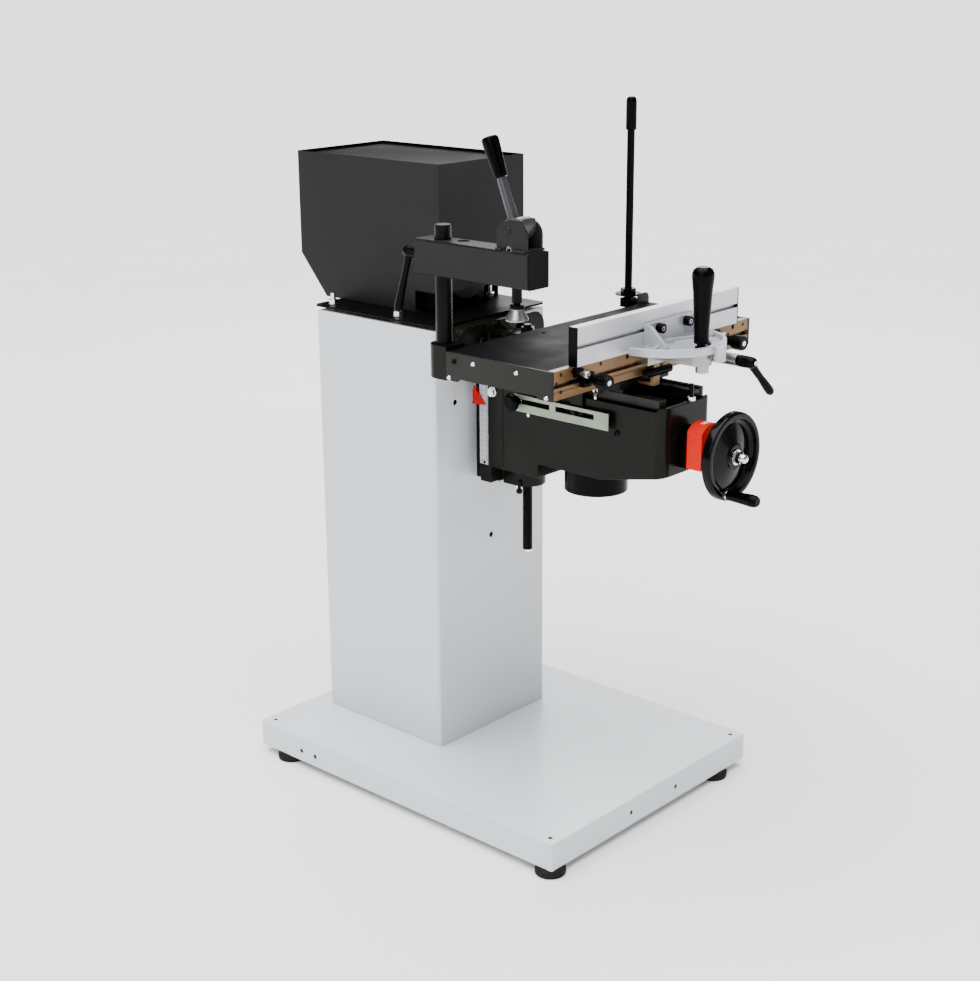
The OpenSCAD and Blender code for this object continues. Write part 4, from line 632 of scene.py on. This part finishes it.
make_piece("scale_screw", [placed(scale_screw, (SCALE_X, -22, 665), LEFT)], "dark steel",
           body_of["height_scale"])
print("ticks on the height scale:", SCALE_STEPS)

# %% [markdown]
# The handwheel's dial counts its turns behind a small window in the arched top: a white plate
# with four black figures, which lies in the pocket that the housing already has.

# %% Dial window
DIAL_Y, DIAL_Z = -485.2, 811.8
boxes("dial_plate", [(-2.0, -490.0, DIAL_Z - 0.4)], [(18.0, -480.5, DIAL_Z)], "numeral white",
      body_of["indicator_housing"])
figures = [(figure, 0.5 + 5 * place, DIAL_Y, DIAL_Z + INK) for place, figure in enumerate("0125")]
lettering("dial_numbers", figures, 7.0, RIGHT, BACK, "indicator_housing")

# %% [markdown]
# The two clamping levers are of the adjustable kind: a fluted hub on a stud, and a thick arm
# that leans out of it and swells towards its round end. The flutes are a cosine taken off the
# hub's radius, and the arm is a row of rings along a straight line.

# %% Clamping levers
SLOT_Z = 913.0
HUB_FLUTES, FLUTE_DEPTH, FLUTE_START, FLUTE_END = 12, 1.1, 6.5, 15.5
ARM_BELOW_TOP = 13
LEVER_CAP = [(0, 3.9, 0), (0.5, 3.7, 0), (0.6, 2, 1), (0.2, 2, 1), (0.2, NEEDLE, 0)]


def fluted(rings, count, depth, low, high):
    """Flutes pressed into rings between two heights: r less depth * (1 + cos(count * angle)) / 2."""
    angle = np.arctan2(rings[..., 1], rings[..., 0])
    radius = np.hypot(rings[..., 0], rings[..., 1])
    inside = (rings[..., 2] >= low) & (rings[..., 2] <= high)
    pressed = 1 - inside * depth * (1 + np.cos(count * angle)) / 2 / np.maximum(radius, 1.0)
    return np.stack([rings[..., 0] * pressed, rings[..., 1] * pressed, rings[..., 2]], -1)


def hub_profile(stud, hub):
    """The rows of a lever's hub with its stud below it and a hex recess in its top."""
    return [(-stud, 5.5, 0), (-stud + 1, 5.9, 0), (0, 5.9, 0), (0, 9, 0), (3, 10.6, 0), (6, 11, 0),
            (7, 11, 0), (hub - 16, 11, 0), (hub - 15, 11, 0), (hub - 8, 10.4, 0), (hub - 3, 9, 0),
            (hub - 1, 7, 0), (hub, 5, 0), (hub, 3, 1), (hub - 2, 3, 1), (hub - 2, NEEDLE, 0)]


def arm_profile(arm):
    """The rows of a lever's arm, which is thinnest in its middle and thickest near its end."""
    return [(0, 6.5, 0), (8, 7.6, 0), (22, 7.0, 0), (45, 6.4, 0), (arm - 26, 7.4, 0), (arm - 8, 8.2, 0),
            (arm, 7.9, 0), (arm + 4, 6.2, 0), (arm + 6, 3.6, 0), (arm + 6.5, 0.6, 0)]


def clamping_lever(node, origin, axis, arm_axis, stud, hub, arm):
    """A lever that stands for its node: stud and hub along one axis, and its arm along another."""
    body = body_of[node]
    origin, axis = np.asarray(origin, float), np.asarray(axis, float)
    hub_rings = fluted(rings_from(hub_profile(stud, hub), 72), HUB_FLUTES, FLUTE_DEPTH,
                       FLUTE_START, hub - FLUTE_END)
    parts = [placed(hub_rings, origin, axis),
             placed(rings_from(arm_profile(arm)), origin + (hub - ARM_BELOW_TOP) * axis, arm_axis)]
    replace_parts(make_piece(node + "_dressed", parts, "moulded black", body), node)
    cap = placed(rings_from(LEVER_CAP, 24), origin + (hub - 0.2) * axis, axis)
    make_piece(node + "_screw", [cap], "chrome", body)
    print(node, "with an arm of", arm, "mm")


clamping_lever("arm_lock_lever", (-260, -59.7, 1101), BACK, (0, 0.2924, -0.9563), 32, 50, 112)
clamping_lever("mitre_lock_lever", (85, -498.3, SLOT_Z), FRONT, (0.6794, -0.0872, -0.7286), 45, 37, 86)

# %% [markdown]
# Each stop on the gold rail is a small block on a T-shaped foot, clamped by a round knob with
# a chrome centre, beside a knurled adjusting screw. Knurling is the same fluting with a
# finer count.

# %% Rail stops
RAIL_FACE, BLOCK_FACE = -376.3, -388.0
NECK_BACK, HEAD_FRONT, HEAD_BACK = -371.0, -371.7, -367.4
NECK_HALF, HEAD_HALF = 3.6, 7.1
KNOB = [(-0.5, 9, 0), (16, 9, 0), (18, 12.4, 0), (20, 13.6, 0), (22, 14, 0), (38, 14, 0), (40, 13.4, 0),
        (42, 12, 0), (42, 6, 0), (41, 5.4, 0), (41, NEEDLE, 0)]
KNOB_CENTRE = [(0, 5.2, 0), (0.8, 4.9, 0), (1.1, 3.6, 0), (1.2, NEEDLE, 0)]
ADJUSTER = [(-9, 3.2, 0), (5, 3.2, 0), (5, 5.6, 0), (6, 6.2, 0), (15, 6.2, 0), (16, 5.4, 0), (16, 2.2, 0),
            (15, 1.8, 0), (15, NEEDLE, 0)]


def rail_stop(node, x):
    """A stop with its knob at x: a block, a lug, a foot's neck and its head, then the turned parts."""
    body, right, left = body_of[node], x + 12, x - 33
    low = [(x - 16, BLOCK_FACE, SLOT_Z - 12), (left, BLOCK_FACE + 2, SLOT_Z + 8),
           (left, RAIL_FACE - 0.5, SLOT_Z - NECK_HALF), (left, HEAD_FRONT, SLOT_Z - HEAD_HALF)]
    high = [(right, RAIL_FACE, SLOT_Z + 12), (x - 15, RAIL_FACE, SLOT_Z + 23),
            (right, NECK_BACK, SLOT_Z + NECK_HALF), (right, HEAD_BACK, SLOT_Z + HEAD_HALF)]
    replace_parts(boxes(node + "_dressed", low, high, "moulded black", body, edge=0.8), node)
    turned = [("_knob", fluted(rings_from(KNOB, 96), 16, 0.9, 21, 39), (x, BLOCK_FACE, SLOT_Z),
               "moulded black", "knob"),
              ("_centre", rings_from(KNOB_CENTRE, 32), (x, BLOCK_FACE - 40.9, SLOT_Z), "chrome", "chrome"),
              ("_screw", fluted(rings_from(ADJUSTER, 96), 24, 0.5, 5.5, 15.5),
               (x - 25, BLOCK_FACE - 1, SLOT_Z + 15.5), "bright steel", "steel")]
    for ending, rings, place, material, slot in turned:
        make_piece(node + ending, [placed(rings, place, FRONT)], material, body)
    print(node, "at x", x)


rail_stop("rail_stop_left", MID_X - 205)
rail_stop("rail_stop_right", MID_X + 197)

# %% [markdown]
# Small screws and holes finish the picture. A dark disc a hair above the face is painted shade
# that reads as a countersunk hole, and a socket head is the profile that runs down into its
# own recess.

# %% Screws and holes
RAIL_HOLES_AT = [(-261, 931), (-273, 917), (-261, 901), (278, 930), (288, 916), (278, 901), (-154, 931),
                 (61, 931)]
HOLE_Y = -376
# painted shade: a flat dark disc that stands for the shade inside a hole
DARK_HOLE = [(0, 3.6, 0), (0.12, 3.6, 0), (0.12, NEEDLE, 0)]
LONG_BOLT = [(-24, 5, 0), (-22, 6, 0), (-17, 6, 0), (-16, 3.4, 0), (1, 3.4, 0)]
# painted shade: a shallow dark dish that stands for the shade in the arm's top hole
ARM_HOLE_SHADE = [(0, 10.8, 0), (0.5, 10.8, 0), (0.7, 10.2, 0), (0.3, 8.5, 0), (0.2, NEEDLE, 0)]


def heads(name, profile, places, axis, material, node):
    """One turned shape at several places along one axis, as one piece that rides with a node."""
    rings = rings_from(profile, 30)
    make_piece(name, [placed(rings, place, axis) for place in places], material, body_of[node])


# the rail's screw holes are dark discs of painted shade
heads("rail_holes", DARK_HOLE, [(x, HOLE_Y, z) for x, z in RAIL_HOLES_AT], FRONT, "ink",
      "front_rail")
heads("fence_screw_centres", socket_head(4.6, 0.9, 5, 0.8), [(-16, -406.2, 974.4), (66, -406.2, 974.4)],
      FRONT, "bright steel", "fence_caps")
heads("plate_screw", socket_head(4.5, 3, 4, 2), [(-285, -152, 924)], LEFT, "dark steel",
      "side_plates")
heads("knee_side_plug", socket_head(5.5, 3.5, 5, 2.5), [(-64.6, -343.8, 782)], LEFT, "dark steel",
      "knee_casting")
heads("drain_screw", LONG_BOLT, [(-30, -80, 628.9)], UP, "dark steel", "knee_casting")
# the arm's top hole is a dark dish of painted shade
heads("arm_hole_painted_shade", ARM_HOLE_SHADE, [(-252, -147, 1129.2)], UP, "ink", "clamp_arm")
